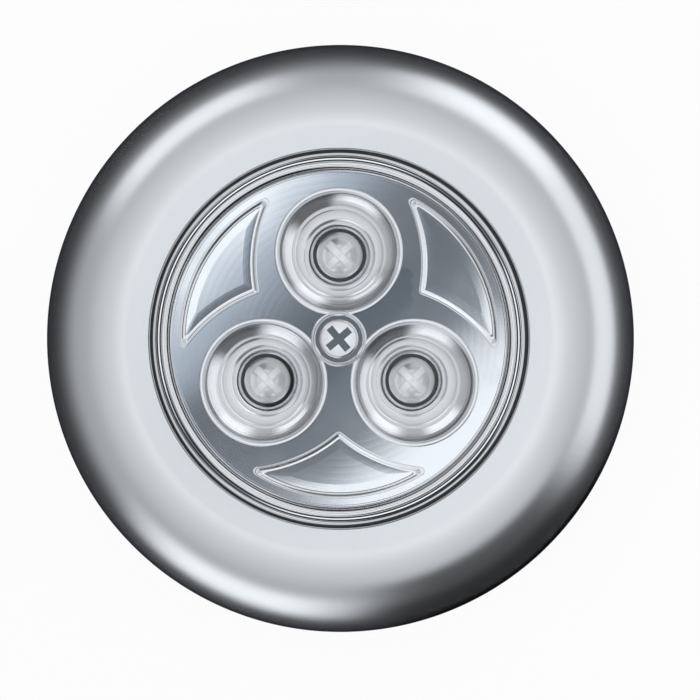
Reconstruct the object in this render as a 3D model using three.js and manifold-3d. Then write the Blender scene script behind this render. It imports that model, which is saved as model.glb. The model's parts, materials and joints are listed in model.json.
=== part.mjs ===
// A stick-on push light: a round satin housing that twists on a base plate, three dry cells in a tray,
// and a push head with three light-emitting diodes in a mirror reflector behind a clear cover.
// Millimetres. The origin is the centre of the adhesive pad's back, and +Z points out of the lens.

import * as THREE from 'three';
import { mergeVertices } from 'three/addons/utils/BufferGeometryUtils.js';
import Module from 'manifold-3d';

const wasm = await Module();
wasm.setup();

// Housing
const HOUSING_DIAMETER = 67;
const HOUSING_WALL = 1.6;
const OPENING_DIAMETER = 43.5;
const FRONT_FLAT_WIDTH = 2.4;
const EDGE_TILT = 46;
const SHOULDER_RADIUS = 1.5;
const LIP_ROUND = 0.4;
const SKIRT_LIFT = 1.2;
const SKIRT_CHAMFER = 0.4;
const GUIDE_WALL = 1.2;

// Base plate and its bayonet
const PAD_DIAMETER = 42;
const PAD_THICKNESS = 1;
const PAD_RECESS = 0.5;
const BASE_THICKNESS = 1.8;
const BASE_CHAMFER = 0.4;
const BASE_EDGE_GAP = 0.4;
const SPIGOT_WALL = 1;
const COLLAR_THICKNESS = 1;
const LUG_THICKNESS = 1.2;
const LUG_REACH = 1.3;
const LUG_COUNT = 3;
const LUG_ANGLE = 24;
const NOTCH_ANGLE = 28;
const TWIST_ANGLE = 28;
const STOP_ANGLE = 3;
const STOP_MARGIN = 1.5;
const STOP_HEIGHT = 1.2;

// Clearances
const RUNNING_GAP = 0.3;
const CONTACT_GAP = 0.1;
const HEAD_GAP = 0.55;
const OVERRUN = 0.5;

// Dry cells, one row of three
const CELL_DIAMETER = 10.5;
const CELL_LENGTH = 44.5;
const CELL_SPACING = 0.4;
const CELL_EDGE = 0.5;
const NUB_DIAMETER = 3.8;
const NUB_HEIGHT = 1;

// Contacts and their springs
const CONTACT_THICKNESS = 0.35;
const CONTACT_HEIGHT = 6.5;
const CONTACT_WIDTH = 5.6;
const TAB_WIDTH = 2;
const TAB_DROP = 1.4;
const CONTACT_SPRING_LENGTH = 3;
const CONTACT_SPRING_WIDE = 2.6;
const CONTACT_SPRING_NARROW = 1.6;
const CONTACT_SPRING_WIRE = 0.22;
const CONTACT_SPRING_CURLS = 2.5;

// Battery tray
const TRAY_FLOOR = 1;
const TRAY_WALL = 0.6;
const TRAY_LIFT = 0.6;
const CELL_TOP_GAP = 0.2;
const CHANNEL_HEIGHT = 2.1;
const CHANNEL_REACH = 8.5;

// Fixing screws and their bosses, two on each side of the cells
const BOSS_ANGLE = 37;
const BOSS_RADIUS = 2.3;
const BOSS_MARGIN = 0.2;
const BOSS_HOLE_DEPTH = 6.5;
const SCREW_SHANK_RADIUS = 1.1;
const SCREW_HEAD_RADIUS = 2;
const SCREW_HEAD_HEIGHT = 1.6;
const SCREW_GRIP = 5;
const SCREW_BITE = 6;
const PAN_EDGE_SHARE = 0.55;
const PAN_FLAT_SHARE = 0.75;
const SLOT_WIDTH = 0.7;
const SLOT_LENGTH = 2.6;
const SLOT_DEPTH = 0.9;

// Switch, under the edge of the head
const SWITCH_WIDTH = 7;
const SWITCH_HEIGHT = 6.5;
const SWITCH_SHELF = 0.7;
const PIN_OFFSET = 2;
const PIN_RADIUS = 0.35;
const PIN_LENGTH = 2.3;
const PLUNGER_RADIUS = 1.6;
const PLUNGER_DEPTH = 4;
const BORE_FLOOR = 0.9;

// Return springs under the head
const SPRING_ANGLE = 22.5;
const SPRING_RADIUS = 1.65;
const SPRING_WIRE = 0.25;
const SPRING_CURLS = 5;
const SPRING_LENGTH = 7.8;
const SPRING_WELL_GAP = 0.6;

// Head
const PRESS_TRAVEL = 1.5;
const PRESS_MARGIN = 0.4;
const CARRIER_THICKNESS = 1;
const CARRIER_REACH = 2.25;
const CARRIER_EDGE = 0.6;
const POST_RADIUS = 3;
const POST_HEIGHT = 4;
const NOTCH_GAP = 0.4;
const BOARD_THICKNESS = 0.8;
const RESISTOR_LENGTH = 3.2;
const RESISTOR_WIDTH = 1.6;
const RESISTOR_HEIGHT = 0.6;
const RESISTOR_CIRCLE_RADIUS = 13;
const RING_WIDTH = 1.4;
const RING_SHOULDER = 0.75;
const RING_SHOULDER_DROP = 0.2;
const RING_ROUND = 0.2;
const RING_CREST_RISE = 0.1;
const HEAD_RISE = 1.6;
const COVER_THICKNESS = 1;
const COVER_CROWN = 0.4;
const COVER_GAP = 0.4;

// Light-emitting diodes
const LED_COUNT = 3;
const LED_TURN = 90;
const LED_CIRCLE_RADIUS = 9.45;
const LED_DIAMETER = 5;
const LED_FLANGE_DIAMETER = 5.8;
const LED_FLANGE_HEIGHT = 1;
const LED_HEIGHT = 8.6;
const LED_TIP_DEPTH = 0.2;
const LEG_OFFSET = 1.27;
const LEG_WIDTH = 0.5;
const LEG_LENGTH = 1.6;
const LEG_HOLE_RADIUS = 0.6;
const WINDOW_RADIUS = 2.6;

// Reflector
const FACE_THICKNESS = 1.3;
const SKIRT_WALL = 1;
const RIM_WIDTH = 0.5;
const CUP_RADIUS = 6.8;
const CUP_DEPTH = 4.6;
const CUP_WALL = 0.8;
const CUP_HOLE_GAP = 0.35;
const LIP_WIDTH = 0.5;
const LIP_HEIGHT = 0.15;
const FIN_DEPTH = 0.6;
const FIN_OUTER_RADIUS = 18;
const FIN_APEX_RADIUS = 10.6;
const FIN_HALF_ANGLE = 33;
const FIN_SIDE_RADIUS = 16.8;
const COLUMN_RADIUS = 3.15;
const COLUMN_RISE = 0.2;
const COUNTERBORE_DEPTH = 1.6;
const COUNTERBORE_GAP = 0.3;

// Centre screw
const CENTRE_HEAD_RADIUS = 2.45;
const CENTRE_HEAD_HEIGHT = 1.5;
const CENTRE_SHANK_RADIUS = 1.2;
const CENTRE_BITE = 3;
const CENTRE_SLOT_WIDTH = 0.8;
const CENTRE_SLOT_LENGTH = 3.4;
const CENTRE_SLOT_DEPTH = 0.9;
const CENTRE_SLOT_TURN = 40;

// Wires and the two leads that flex under the head
const WIRE_RADIUS = 0.45;
const WIRE_BORE = 1.1;
const WIRE_LEVEL = 3.8;
const WIRE_TOP_DROP = 0.1;
const WIRE_INSET = 0.5;
const WIRE_DIP = 0.15;
const WIRE_BEND = 1.5;
const LEAD_X = 15.5;
const LEAD_BOW = 0.45;
const SWITCH_LEAD_Y = -5;
const RISER_X = 18.3;
const BATTERY_RISER_X = 19.6;
const LINK_HEIGHT = 1.9;
const LINK_WIDTH = 2.2;

// How round each kind of piece is drawn
const LARGE_SEGMENTS = 52;
const MEDIUM_SEGMENTS = 20;
const SMALL_SEGMENTS = 12;
const CURL_STEPS = 8;
const CURL_SIDES = 5;
const WIRE_SIDES = 8;
const WIRE_STEPS = 22;

// The cup's stepped section, from its mouth to the floor round the diode's hole
const cupRadiusShares = [1, 0.93, 0.79, 0.69, 0.67, 0.6, 0.585, 0.515, 0.505];
const cupDepthShares = [0, 0.08, 0.36, 0.42, 0.55, 0.6, 0.73, 0.78, 1];
const cupBackRadiusShares = [1, 0.82, 0.66, 0.62];
const cupBackDepthShares = [0.2, 0.62, 0.86, 1];

// Heights, from the pad's back up to the crown of the cover
const baseBottom = PAD_THICKNESS - PAD_RECESS;
const baseTop = baseBottom + BASE_THICKNESS;
const cellAxis = baseTop + RUNNING_GAP + CELL_DIAMETER / 2;
const trayBottom = baseTop + TRAY_LIFT;
const trayUnder = cellAxis + CELL_DIAMETER / 2 + CELL_TOP_GAP;
const trayTop = trayUnder + TRAY_FLOOR;
const carrierBottom = trayTop + PRESS_TRAVEL + PRESS_MARGIN;
const carrierTop = carrierBottom + CARRIER_THICKNESS;
const boardTop = carrierTop + BOARD_THICKNESS;
const faceHeight = boardTop + LED_HEIGHT + LED_TIP_DEPTH;
const coverBottom = faceHeight + COVER_GAP;
const coverTop = coverBottom + COVER_THICKNESS;
const crestHeight = coverTop + RING_CREST_RISE;
const lipHeight = crestHeight - HEAD_RISE;
const guideEnd = carrierTop + CONTACT_GAP;

// Radii, from the housing inwards
const housingRadius = HOUSING_DIAMETER / 2;
const bodyRadius = housingRadius - HOUSING_WALL;
const openingRadius = OPENING_DIAMETER / 2;
const headRadius = openingRadius - HEAD_GAP;
const ringInside = headRadius - RING_WIDTH;
const ringCrestOutside = headRadius - RING_SHOULDER;
const coverRadius = ringInside - RUNNING_GAP;
const skirtInside = coverRadius - SKIRT_WALL;
const boardRadius = skirtInside - RUNNING_GAP;
const guideOutside = openingRadius + GUIDE_WALL;
const carrierRadius = guideOutside + CARRIER_REACH;
const switchX = carrierRadius - CARRIER_EDGE - PLUNGER_RADIUS;
const baseRadius = bodyRadius - BASE_EDGE_GAP;
const lugRadius = bodyRadius - 2 * RUNNING_GAP;
const spigotRadius = lugRadius - LUG_REACH;
const collarRadius = spigotRadius + RUNNING_GAP;
const trayRadius = spigotRadius - SPIGOT_WALL - RUNNING_GAP;
const pocketRadius = trayRadius - TRAY_WALL;

// Bayonet heights
const collarBottom = baseTop + RUNNING_GAP;
const collarTop = collarBottom + COLLAR_THICKNESS;
const lugBottom = collarTop + RUNNING_GAP;
const lugTop = lugBottom + LUG_THICKNESS;

// The cells' pocket
const cellPitch = CELL_DIAMETER + CELL_SPACING;
const pocketHalfWidth = cellPitch + CELL_DIAMETER / 2 + CELL_SPACING;
const pocketHalfLength = (CELL_LENGTH + CONTACT_SPRING_LENGTH) / 2 + CONTACT_THICKNESS + CONTACT_GAP;
const contactFace = pocketHalfLength - CONTACT_THICKNESS - CONTACT_GAP / 2;
const contactEdge = cellPitch + CONTACT_WIDTH / 2 - CELL_SPACING / 2;
const channelTop = trayBottom + CHANNEL_HEIGHT;

const degrees = THREE.MathUtils.degToRad;

// Returns the closed, outward-facing mesh of a three.js geometry as a solid.
function solid(geometry) {
  const bare = geometry.clone();
  bare.deleteAttribute('normal');
  bare.deleteAttribute('uv');
  const merged = mergeVertices(bare);
  const place = merged.getAttribute('position').array;
  const index = merged.getIndex().array;
  const kept = [];
  let volume = 0;
  for (let i = 0; i < index.length; i += 3) {
    const [a, b, c] = [index[i], index[i + 1], index[i + 2]];
    if (a === b || b === c || c === a) continue;
    kept.push(a, b, c);
    const [p, q, r] = [a, b, c].map((v) => new THREE.Vector3().fromArray(place, 3 * v));
    volume += p.dot(q.cross(r));
  }
  if (volume < 0) kept.reverse();
  const mesh = new wasm.Mesh({
    numProp: 3,
    vertProperties: Float32Array.from(place),
    triVerts: Uint32Array.from(kept),
  });
  return new wasm.Manifold(mesh);
}

// Turns a section of [radius, height] points about Z.
function turned(points, segments = LARGE_SEGMENTS) {
  const section = points.map(([radius, height]) => new THREE.Vector2(radius, height));
  return solid(new THREE.LatheGeometry(section, segments).rotateX(Math.PI / 2));
}

function disc(radius, low, high, segments = LARGE_SEGMENTS) {
  return turned([[0, low], [radius, low], [radius, high], [0, high]], segments);
}

function pipe(outer, inner, low, high, segments = LARGE_SEGMENTS) {
  return turned([[inner, low], [outer, low], [outer, high], [inner, high], [inner, low]], segments);
}

function block(lowX, highX, lowY, highY, lowZ, highZ) {
  const box = new THREE.BoxGeometry(highX - lowX, highY - lowY, highZ - lowZ);
  return solid(box.translate((lowX + highX) / 2, (lowY + highY) / 2, (lowZ + highZ) / 2));
}

function slab(shape, low, high, curveSegments = MEDIUM_SEGMENTS) {
  const options = { depth: high - low, bevelEnabled: false, curveSegments };
  return solid(new THREE.ExtrudeGeometry(shape, options).translate(0, 0, low));
}

// A piece of a ring, between two angles in degrees.
function sector(inner, outer, from, to, low, high) {
  const shape = new THREE.Shape();
  shape.absarc(0, 0, outer, degrees(from), degrees(to), false);
  shape.absarc(0, 0, inner, degrees(to), degrees(from), true);
  shape.closePath();
  return slab(shape, low, high, 8);
}

function arc(centreRadius, centreHeight, radius, from, to, steps) {
  return Array.from({ length: steps + 1 }, (_, i) => {
    const angle = degrees(from + ((to - from) * i) / steps);
    return [centreRadius + radius * Math.cos(angle), centreHeight + radius * Math.sin(angle)];
  });
}

function tube(curve, radius, sides, steps) {
  const section = new THREE.Shape();
  for (let i = 0; i < sides; i += 1) {
    const angle = (2 * Math.PI * i) / sides;
    const point = [radius * Math.cos(angle), radius * Math.sin(angle)];
    if (i === 0) section.moveTo(...point);
    else section.lineTo(...point);
  }
  section.closePath();
  return solid(new THREE.ExtrudeGeometry(section, { steps, extrudePath: curve, bevelEnabled: false }));
}

function moved(piece, x, y, z = 0) {
  return piece.translate([x, y, z]);
}

function joined(...pieces) {
  return pieces.reduce((whole, piece) => whole.add(piece));
}

function cut(piece, ...tools) {
  return tools.reduce((rest, tool) => rest.subtract(tool), piece);
}

function around(count, start = 0) {
  return Array.from({ length: count }, (_, i) => start + (360 * i) / count);
}

// Finishes
const finishes = {
  satin: { color: 0xd9dbe0, roughness: 0.32, metalness: 0.9 },
  mirror: { color: 0xe6e9ee, roughness: 0.06, metalness: 1 },
  clear: { color: 0xf4f8fb, roughness: 0.04, metalness: 0, transparent: true, opacity: 0.35 },
  steel: { color: 0xc9ccd0, roughness: 0.25, metalness: 1 },
  brass: { color: 0xc9a85c, roughness: 0.35, metalness: 1 },
  greyPlastic: { color: 0xb9bcc2, roughness: 0.55, metalness: 0 },
  whitePlastic: { color: 0xe9eaec, roughness: 0.5, metalness: 0 },
  blackPlastic: { color: 0x1b1c1f, roughness: 0.45, metalness: 0 },
  foam: { color: 0xf2f2ef, roughness: 0.9, metalness: 0 },
  board: { color: 0x2f6b43, roughness: 0.5, metalness: 0 },
  wrap: { color: 0x3d5f8c, roughness: 0.35, metalness: 0.3 },
  redWire: { color: 0xb3241f, roughness: 0.5, metalness: 0 },
  blackWire: { color: 0x202124, roughness: 0.5, metalness: 0 },
};

function mesh(name, piece, finish) {
  const { vertProperties, triVerts } = piece.getMesh();
  const geometry = new THREE.BufferGeometry();
  geometry.setAttribute('position', new THREE.BufferAttribute(vertProperties, 3));
  geometry.setIndex(new THREE.BufferAttribute(triVerts, 1));
  geometry.computeVertexNormals();
  const object = new THREE.Mesh(geometry, new THREE.MeshStandardMaterial(finishes[finish]));
  object.name = name;
  return object;
}

// Screws share this: a pan head, a shank and a crossed slot sunk in the head.
function screwBody(head, shank, slot) {
  const body = turned(
    [
      [0, -shank.length],
      [shank.radius, -shank.length],
      [shank.radius, 0],
      [head.radius, 0],
      [head.radius, head.height * PAN_EDGE_SHARE],
      [head.radius * PAN_FLAT_SHARE, head.height],
      [0, head.height],
    ],
    SMALL_SEGMENTS,
  );
  const half = [slot.length / 2, slot.width / 2];
  const floor = head.height - slot.depth;
  const crossing = [0, 1].map((turn) => {
    const [across, along] = turn ? [...half].reverse() : half;
    return block(-across, across, -along, along, floor, head.height + OVERRUN);
  });
  return cut(body, joined(...crossing).rotate([0, 0, slot.turn]));
}

// Adhesive pad
function adhesivePad() {
  return disc(PAD_DIAMETER / 2, 0, PAD_THICKNESS);
}

// Base plate with the pad's recess, the spigot that stands in the housing, and three lugs
function basePlate() {
  const recessRadius = PAD_DIAMETER / 2 + RUNNING_GAP;
  const plate = turned([
    [0, PAD_THICKNESS],
    [recessRadius, PAD_THICKNESS],
    [recessRadius, baseBottom],
    [baseRadius - BASE_CHAMFER, baseBottom],
    [baseRadius, baseBottom + BASE_CHAMFER],
    [baseRadius, baseTop],
    [spigotRadius, baseTop],
    [spigotRadius, lugTop],
    [spigotRadius - SPIGOT_WALL, lugTop],
    [spigotRadius - SPIGOT_WALL, baseTop],
    [0, baseTop],
  ]);
  const lugs = around(LUG_COUNT).map((angle) =>
    sector(
      spigotRadius - SPIGOT_WALL / 2,
      lugRadius,
      angle - LUG_ANGLE / 2,
      angle + LUG_ANGLE / 2,
      lugBottom,
      lugTop,
    ),
  );
  return joined(plate, ...lugs);
}

// Housing: a domed shell with the head's guide sleeve, four bosses and the bayonet's notched collar
function housingShell() {
  const flatEdge = openingRadius + FRONT_FLAT_WIDTH;
  const tilt = degrees(EDGE_TILT);
  const shoulderCentre = housingRadius - SHOULDER_RADIUS;
  const crownRadius = (shoulderCentre - flatEdge) / Math.sin(tilt) + SHOULDER_RADIUS;
  const crownCentre = lipHeight - crownRadius;
  const shoulderHeight = crownCentre + (crownRadius - SHOULDER_RADIUS) * Math.cos(tilt);
  const outer = turned([
    [0, SKIRT_LIFT],
    [housingRadius - SKIRT_CHAMFER, SKIRT_LIFT],
    [housingRadius, SKIRT_LIFT + SKIRT_CHAMFER],
    ...arc(shoulderCentre, shoulderHeight, SHOULDER_RADIUS, 0, 90 - EDGE_TILT, 3),
    ...arc(flatEdge, crownCentre, crownRadius, 90 - EDGE_TILT, 90, 6).slice(1),
    [0, lipHeight],
  ]);
  const innerCrown = crownRadius - HOUSING_WALL;
  const innerTurn = THREE.MathUtils.radToDeg(Math.acos((bodyRadius - flatEdge) / innerCrown));
  const hollow = turned([
    [0, SKIRT_LIFT - OVERRUN],
    [bodyRadius, SKIRT_LIFT - OVERRUN],
    ...arc(flatEdge, crownCentre, innerCrown, innerTurn, 90, 4),
    [0, lipHeight - HOUSING_WALL],
  ]);
  const opening = turned([
    [0, guideEnd - OVERRUN],
    [openingRadius, guideEnd - OVERRUN],
    [openingRadius, lipHeight - LIP_ROUND],
    [openingRadius + LIP_ROUND, lipHeight],
    [openingRadius + LIP_ROUND, lipHeight + OVERRUN],
    [0, lipHeight + OVERRUN],
  ]);
  const guide = pipe(guideOutside, openingRadius - LIP_ROUND, guideEnd, lipHeight - HOUSING_WALL / 2);
  const bosses = bossPlaces.map(([x, y]) => {
    const column = moved(disc(BOSS_RADIUS, trayTop, lipHeight, SMALL_SEGMENTS), x, y);
    return column.intersect(outer);
  });
  const holes = bossPlaces.map(([x, y]) =>
    moved(
      disc(SCREW_SHANK_RADIUS + RUNNING_GAP, trayTop - OVERRUN, trayTop + BOSS_HOLE_DEPTH, SMALL_SEGMENTS),
      x,
      y,
    ),
  );
  const collar = pipe(bodyRadius + HOUSING_WALL / 2, collarRadius, collarBottom, collarTop);
  const notches = around(LUG_COUNT).map((angle) => {
    const centre = angle - TWIST_ANGLE;
    return sector(
      collarRadius - OVERRUN,
      bodyRadius - CONTACT_GAP,
      centre - NOTCH_ANGLE / 2,
      centre + NOTCH_ANGLE / 2,
      collarBottom - OVERRUN,
      collarTop + OVERRUN,
    );
  });
  const stops = around(LUG_COUNT).flatMap((angle) => {
    const locked = angle + LUG_ANGLE / 2 + STOP_MARGIN;
    const open = angle - TWIST_ANGLE - LUG_ANGLE / 2 - STOP_MARGIN;
    return [[locked, locked + STOP_ANGLE], [open - STOP_ANGLE, open]].map(([from, to]) =>
      sector(
        collarRadius + CONTACT_GAP,
        bodyRadius + HOUSING_WALL / 2,
        from,
        to,
        collarTop - COLLAR_THICKNESS / 2,
        collarTop + STOP_HEIGHT,
      ),
    );
  });
  const ring = joined(cut(collar, ...notches), ...stops);
  return cut(joined(cut(outer, hollow), guide, ...bosses, ring), opening, ...holes);
}

// Four places on a circle, the same angle to each side of the X axis
function fourPlaces(circle, angle) {
  const [x, y] = [circle * Math.cos(degrees(angle)), circle * Math.sin(degrees(angle))];
  return [[x, y], [x, -y], [-x, y], [-x, -y]];
}

const bossPlaces = fourPlaces(trayRadius - BOSS_RADIUS - BOSS_MARGIN, BOSS_ANGLE);
const springPlaces = fourPlaces(carrierRadius - CARRIER_EDGE - SPRING_RADIUS, SPRING_ANGLE);

const springFloor = carrierBottom - SPRING_LENGTH;
const headSeat = trayTop - SCREW_GRIP;
const shelfTop = channelTop + SWITCH_SHELF;

// Battery tray: a round block with the cells' pocket and wells for switch, springs, screws and wires
function batteryTray() {
  const drum = disc(trayRadius, trayBottom, trayTop);
  const pocket = block(
    -pocketHalfWidth,
    pocketHalfWidth,
    -pocketHalfLength,
    pocketHalfLength,
    trayBottom - OVERRUN,
    trayUnder,
  ).intersect(disc(pocketRadius, trayBottom - OVERRUN, trayUnder));
  const screwHoles = bossPlaces.flatMap(([x, y]) => [
    moved(
      disc(SCREW_SHANK_RADIUS + RUNNING_GAP, trayBottom, trayTop + OVERRUN, SMALL_SEGMENTS),
      x,
      y,
    ),
    moved(
      disc(SCREW_HEAD_RADIUS + RUNNING_GAP, trayBottom - OVERRUN, headSeat, SMALL_SEGMENTS),
      x,
      y,
    ),
  ]);
  const wellRadius = SPRING_RADIUS + SPRING_WIRE + SPRING_WELL_GAP;
  const springWells = springPlaces.map(([x, y]) =>
    moved(disc(wellRadius, springFloor, trayTop + OVERRUN, SMALL_SEGMENTS), x, y),
  );
  const switchHalf = SWITCH_WIDTH / 2 + RUNNING_GAP;
  const switchWell = block(
    switchX - switchHalf,
    switchX + switchHalf,
    -switchHalf,
    switchHalf,
    shelfTop,
    trayTop + OVERRUN,
  );
  const pinHoles = [1, -1].map((side) =>
    moved(
      disc(PIN_RADIUS + RUNNING_GAP, channelTop - OVERRUN, shelfTop + OVERRUN, SMALL_SEGMENTS),
      switchX,
      side * PIN_OFFSET,
    ),
  );
  return cut(
    drum,
    pocket,
    ...screwHoles,
    ...springWells,
    switchWell,
    ...pinHoles,
    wireChannels(),
  );
}

// Where the wires run: a channel under each side, a riser, and a link over the outer cell
function wireChannels() {
  const inside = pocketHalfWidth - OVERRUN;
  const low = trayBottom - OVERRUN;
  const linkLow = trayUnder - LINK_HEIGHT;
  const under = [
    block(inside, switchX + SWITCH_WIDTH / 2, -CHANNEL_REACH, CHANNEL_REACH, low, channelTop),
    block(-BATTERY_RISER_X - LINK_WIDTH, -inside, -CHANNEL_REACH, LINK_WIDTH, low, channelTop),
  ];
  const leads = [[LEAD_X, SWITCH_LEAD_Y, RISER_X], [-LEAD_X, 0, -BATTERY_RISER_X]];
  const links = leads.flatMap(([x, y, riser]) => {
    const ends = [x - Math.sign(x) * WIRE_BORE, riser].sort((a, b) => a - b);
    return [
      moved(disc(WIRE_BORE, low, trayUnder, SMALL_SEGMENTS), riser, y),
      block(ends[0], ends[1], y - LINK_WIDTH / 2, y + LINK_WIDTH / 2, linkLow, trayUnder),
      moved(disc(WIRE_BORE, trayUnder - OVERRUN, trayTop + OVERRUN, SMALL_SEGMENTS), x, y),
    ];
  });
  return joined(...under, ...links);
}

// Dry cell, its negative end at the origin and its nub up +Z
function cell() {
  const radius = CELL_DIAMETER / 2;
  const bodyLength = CELL_LENGTH - NUB_HEIGHT;
  return turned(
    [
      [0, 0],
      [radius - CELL_EDGE, 0],
      [radius, CELL_EDGE],
      [radius, bodyLength - CELL_EDGE],
      [radius - CELL_EDGE, bodyLength],
      [NUB_DIAMETER / 2, bodyLength],
      [NUB_DIAMETER / 2, CELL_LENGTH],
      [0, CELL_LENGTH],
    ],
    MEDIUM_SEGMENTS,
  );
}

// Contact plates stand against the ends of the pocket
function contactPlate(lowX, highX, side, tab = 0) {
  const ends = [side * contactFace, side * (contactFace + CONTACT_THICKNESS)].sort((a, b) => a - b);
  const low = cellAxis - CONTACT_HEIGHT / 2;
  const plate = block(lowX, highX, ...ends, low, low + CONTACT_HEIGHT);
  if (!tab) return plate;
  const tabEdge = tab > 0 ? highX : lowX;
  const tabEnds = [tabEdge, tabEdge - tab * TAB_WIDTH].sort((a, b) => a - b);
  return joined(plate, block(...tabEnds, ...ends, low - TAB_DROP, low + OVERRUN));
}

// One unbroken coil up +Z from its foot, narrowing from one radius to the other
class Coil extends THREE.Curve {
  constructor(wide, narrow, height, curls) {
    super();
    Object.assign(this, { wide, narrow, height, curls });
  }

  getPoint(t, target = new THREE.Vector3()) {
    const radius = this.wide + (this.narrow - this.wide) * t;
    const angle = 2 * Math.PI * this.curls * t;
    return target.set(radius * Math.cos(angle), radius * Math.sin(angle), this.height * t);
  }
}

// The least distance between neighbouring curls of a coil, less the wire's own thickness
function leastGap(curve, wire) {
  const count = Math.round(curve.curls * CURL_STEPS);
  const points = curve.getPoints(count);
  let least = Infinity;
  points.forEach((point, i) => {
    points.slice(i + Math.round(CURL_STEPS / 2)).forEach((other) => {
      least = Math.min(least, point.distanceTo(other) - 2 * wire);
    });
  });
  return least;
}

function coil(label, wide, narrow, length, wire, curls) {
  const foot = wire + CONTACT_GAP;
  const curve = new Coil(wide, narrow, length - 2 * foot, curls);
  console.log(`${label}: least gap between curls ${leastGap(curve, wire).toFixed(2)} mm`);
  const steps = Math.round(curls * CURL_STEPS);
  return moved(tube(curve, wire, CURL_SIDES, steps), 0, 0, foot);
}

// Switch body with the plunger's bore
function switchBody() {
  const half = SWITCH_WIDTH / 2;
  const shell = block(-half, half, -half, half, 0, SWITCH_HEIGHT);
  const bore = disc(PLUNGER_RADIUS + RUNNING_GAP, BORE_FLOOR, SWITCH_HEIGHT + OVERRUN, MEDIUM_SEGMENTS);
  return cut(shell, bore);
}

// The plunger, its foot at the origin
function switchPlunger(length) {
  return turned(
    [
      [0, 0],
      [PLUNGER_RADIUS, 0],
      [PLUNGER_RADIUS, length - RING_ROUND],
      [PLUNGER_RADIUS - RING_ROUND, length],
      [0, length],
    ],
    MEDIUM_SEGMENTS,
  );
}

const ledPlaces = around(LED_COUNT, LED_TURN).map((angle) => [
  LED_CIRCLE_RADIUS * Math.cos(degrees(angle)),
  LED_CIRCLE_RADIUS * Math.sin(degrees(angle)),
]);

const betweenLeds = around(LED_COUNT, LED_TURN - 180 / LED_COUNT);

// Carrier: the head's floor, with its post, the windows under the diodes and notches round the bosses
function headCarrier() {
  const plate = disc(carrierRadius, carrierBottom, carrierTop);
  const post = disc(POST_RADIUS, carrierTop - CARRIER_THICKNESS / 2, carrierTop + POST_HEIGHT, MEDIUM_SEGMENTS);
  const low = carrierBottom - OVERRUN;
  const high = carrierTop + OVERRUN;
  const windows = ledPlaces.map(([x, y]) => moved(disc(WINDOW_RADIUS, low, high, MEDIUM_SEGMENTS), x, y));
  const notches = bossPlaces.map(([x, y]) =>
    moved(disc(BOSS_RADIUS + NOTCH_GAP, low, high, MEDIUM_SEGMENTS), x, y),
  );
  const leadHoles = [[LEAD_X, SWITCH_LEAD_Y], [-LEAD_X, 0]].map(([x, y]) =>
    moved(disc(WIRE_BORE + LEAD_BOW, low, high, SMALL_SEGMENTS), x, y),
  );
  const screwHole = disc(
    CENTRE_SHANK_RADIUS + RUNNING_GAP,
    low,
    carrierTop + POST_HEIGHT + OVERRUN,
    SMALL_SEGMENTS,
  );
  return cut(joined(plate, post), ...windows, ...notches, ...leadHoles, screwHole);
}

// Circuit board with holes for the post and the diodes' legs
function circuitBoard() {
  const low = carrierTop - OVERRUN;
  const high = boardTop + OVERRUN;
  const legHoles = ledPlaces.flatMap(([x, y]) =>
    [1, -1].map((side) =>
      moved(disc(LEG_HOLE_RADIUS, low, high, SMALL_SEGMENTS / 2 + 1), x + side * LEG_OFFSET, y),
    ),
  );
  const postHole = disc(POST_RADIUS + RUNNING_GAP, low, high, MEDIUM_SEGMENTS);
  return cut(disc(boardRadius, carrierTop, boardTop), postHole, ...legHoles);
}

// A diode, its flange's underside at the origin
function diode() {
  const radius = LED_DIAMETER / 2;
  return turned(
    [
      [0, 0],
      [LED_FLANGE_DIAMETER / 2, 0],
      [LED_FLANGE_DIAMETER / 2, LED_FLANGE_HEIGHT],
      [radius, LED_FLANGE_HEIGHT],
      ...arc(0, LED_HEIGHT - radius, radius, 0, 90, 3),
    ],
    MEDIUM_SEGMENTS,
  );
}

// The ring round the cover: a step below the housing's lip and a rounded crest above it
function lensRing() {
  const crestRadius = (ringCrestOutside - ringInside) / 2;
  const shoulder = lipHeight - RING_SHOULDER_DROP;
  return turned([
    [ringInside, carrierTop],
    [headRadius, carrierTop],
    [headRadius, shoulder - RING_ROUND],
    [headRadius - RING_ROUND, shoulder],
    [ringCrestOutside, shoulder],
    ...arc(ringInside + crestRadius, crestHeight - crestRadius, crestRadius, 0, 180, 4),
    [ringInside, carrierTop],
  ]);
}

// The clear cover, flat inside and slightly crowned outside
function lensCover() {
  const crownRadius = (coverRadius ** 2 + COVER_CROWN ** 2) / (2 * COVER_CROWN);
  const half = THREE.MathUtils.radToDeg(Math.asin(coverRadius / crownRadius));
  const crown = arc(0, coverTop + COVER_CROWN - crownRadius, crownRadius, 90 - half, 90, 4);
  return turned([[0, coverBottom], [coverRadius, coverBottom], ...crown]);
}

// One sunk fin between two cups: concave sides, and an outer side along the disc's edge
function finShape(direction) {
  const corner = (angle, radius) => {
    const turn = degrees(direction + angle);
    return new THREE.Vector2(radius * Math.cos(turn), radius * Math.sin(turn));
  };
  const apex = corner(0, FIN_APEX_RADIUS);
  const left = corner(FIN_HALF_ANGLE, FIN_OUTER_RADIUS);
  const right = corner(-FIN_HALF_ANGLE, FIN_OUTER_RADIUS);
  const shape = new THREE.Shape();
  shape.absarc(0, 0, FIN_OUTER_RADIUS, degrees(direction - FIN_HALF_ANGLE), degrees(direction + FIN_HALF_ANGLE));
  sideArc(shape, left, apex);
  sideArc(shape, apex, right);
  shape.closePath();
  return shape;
}

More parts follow.
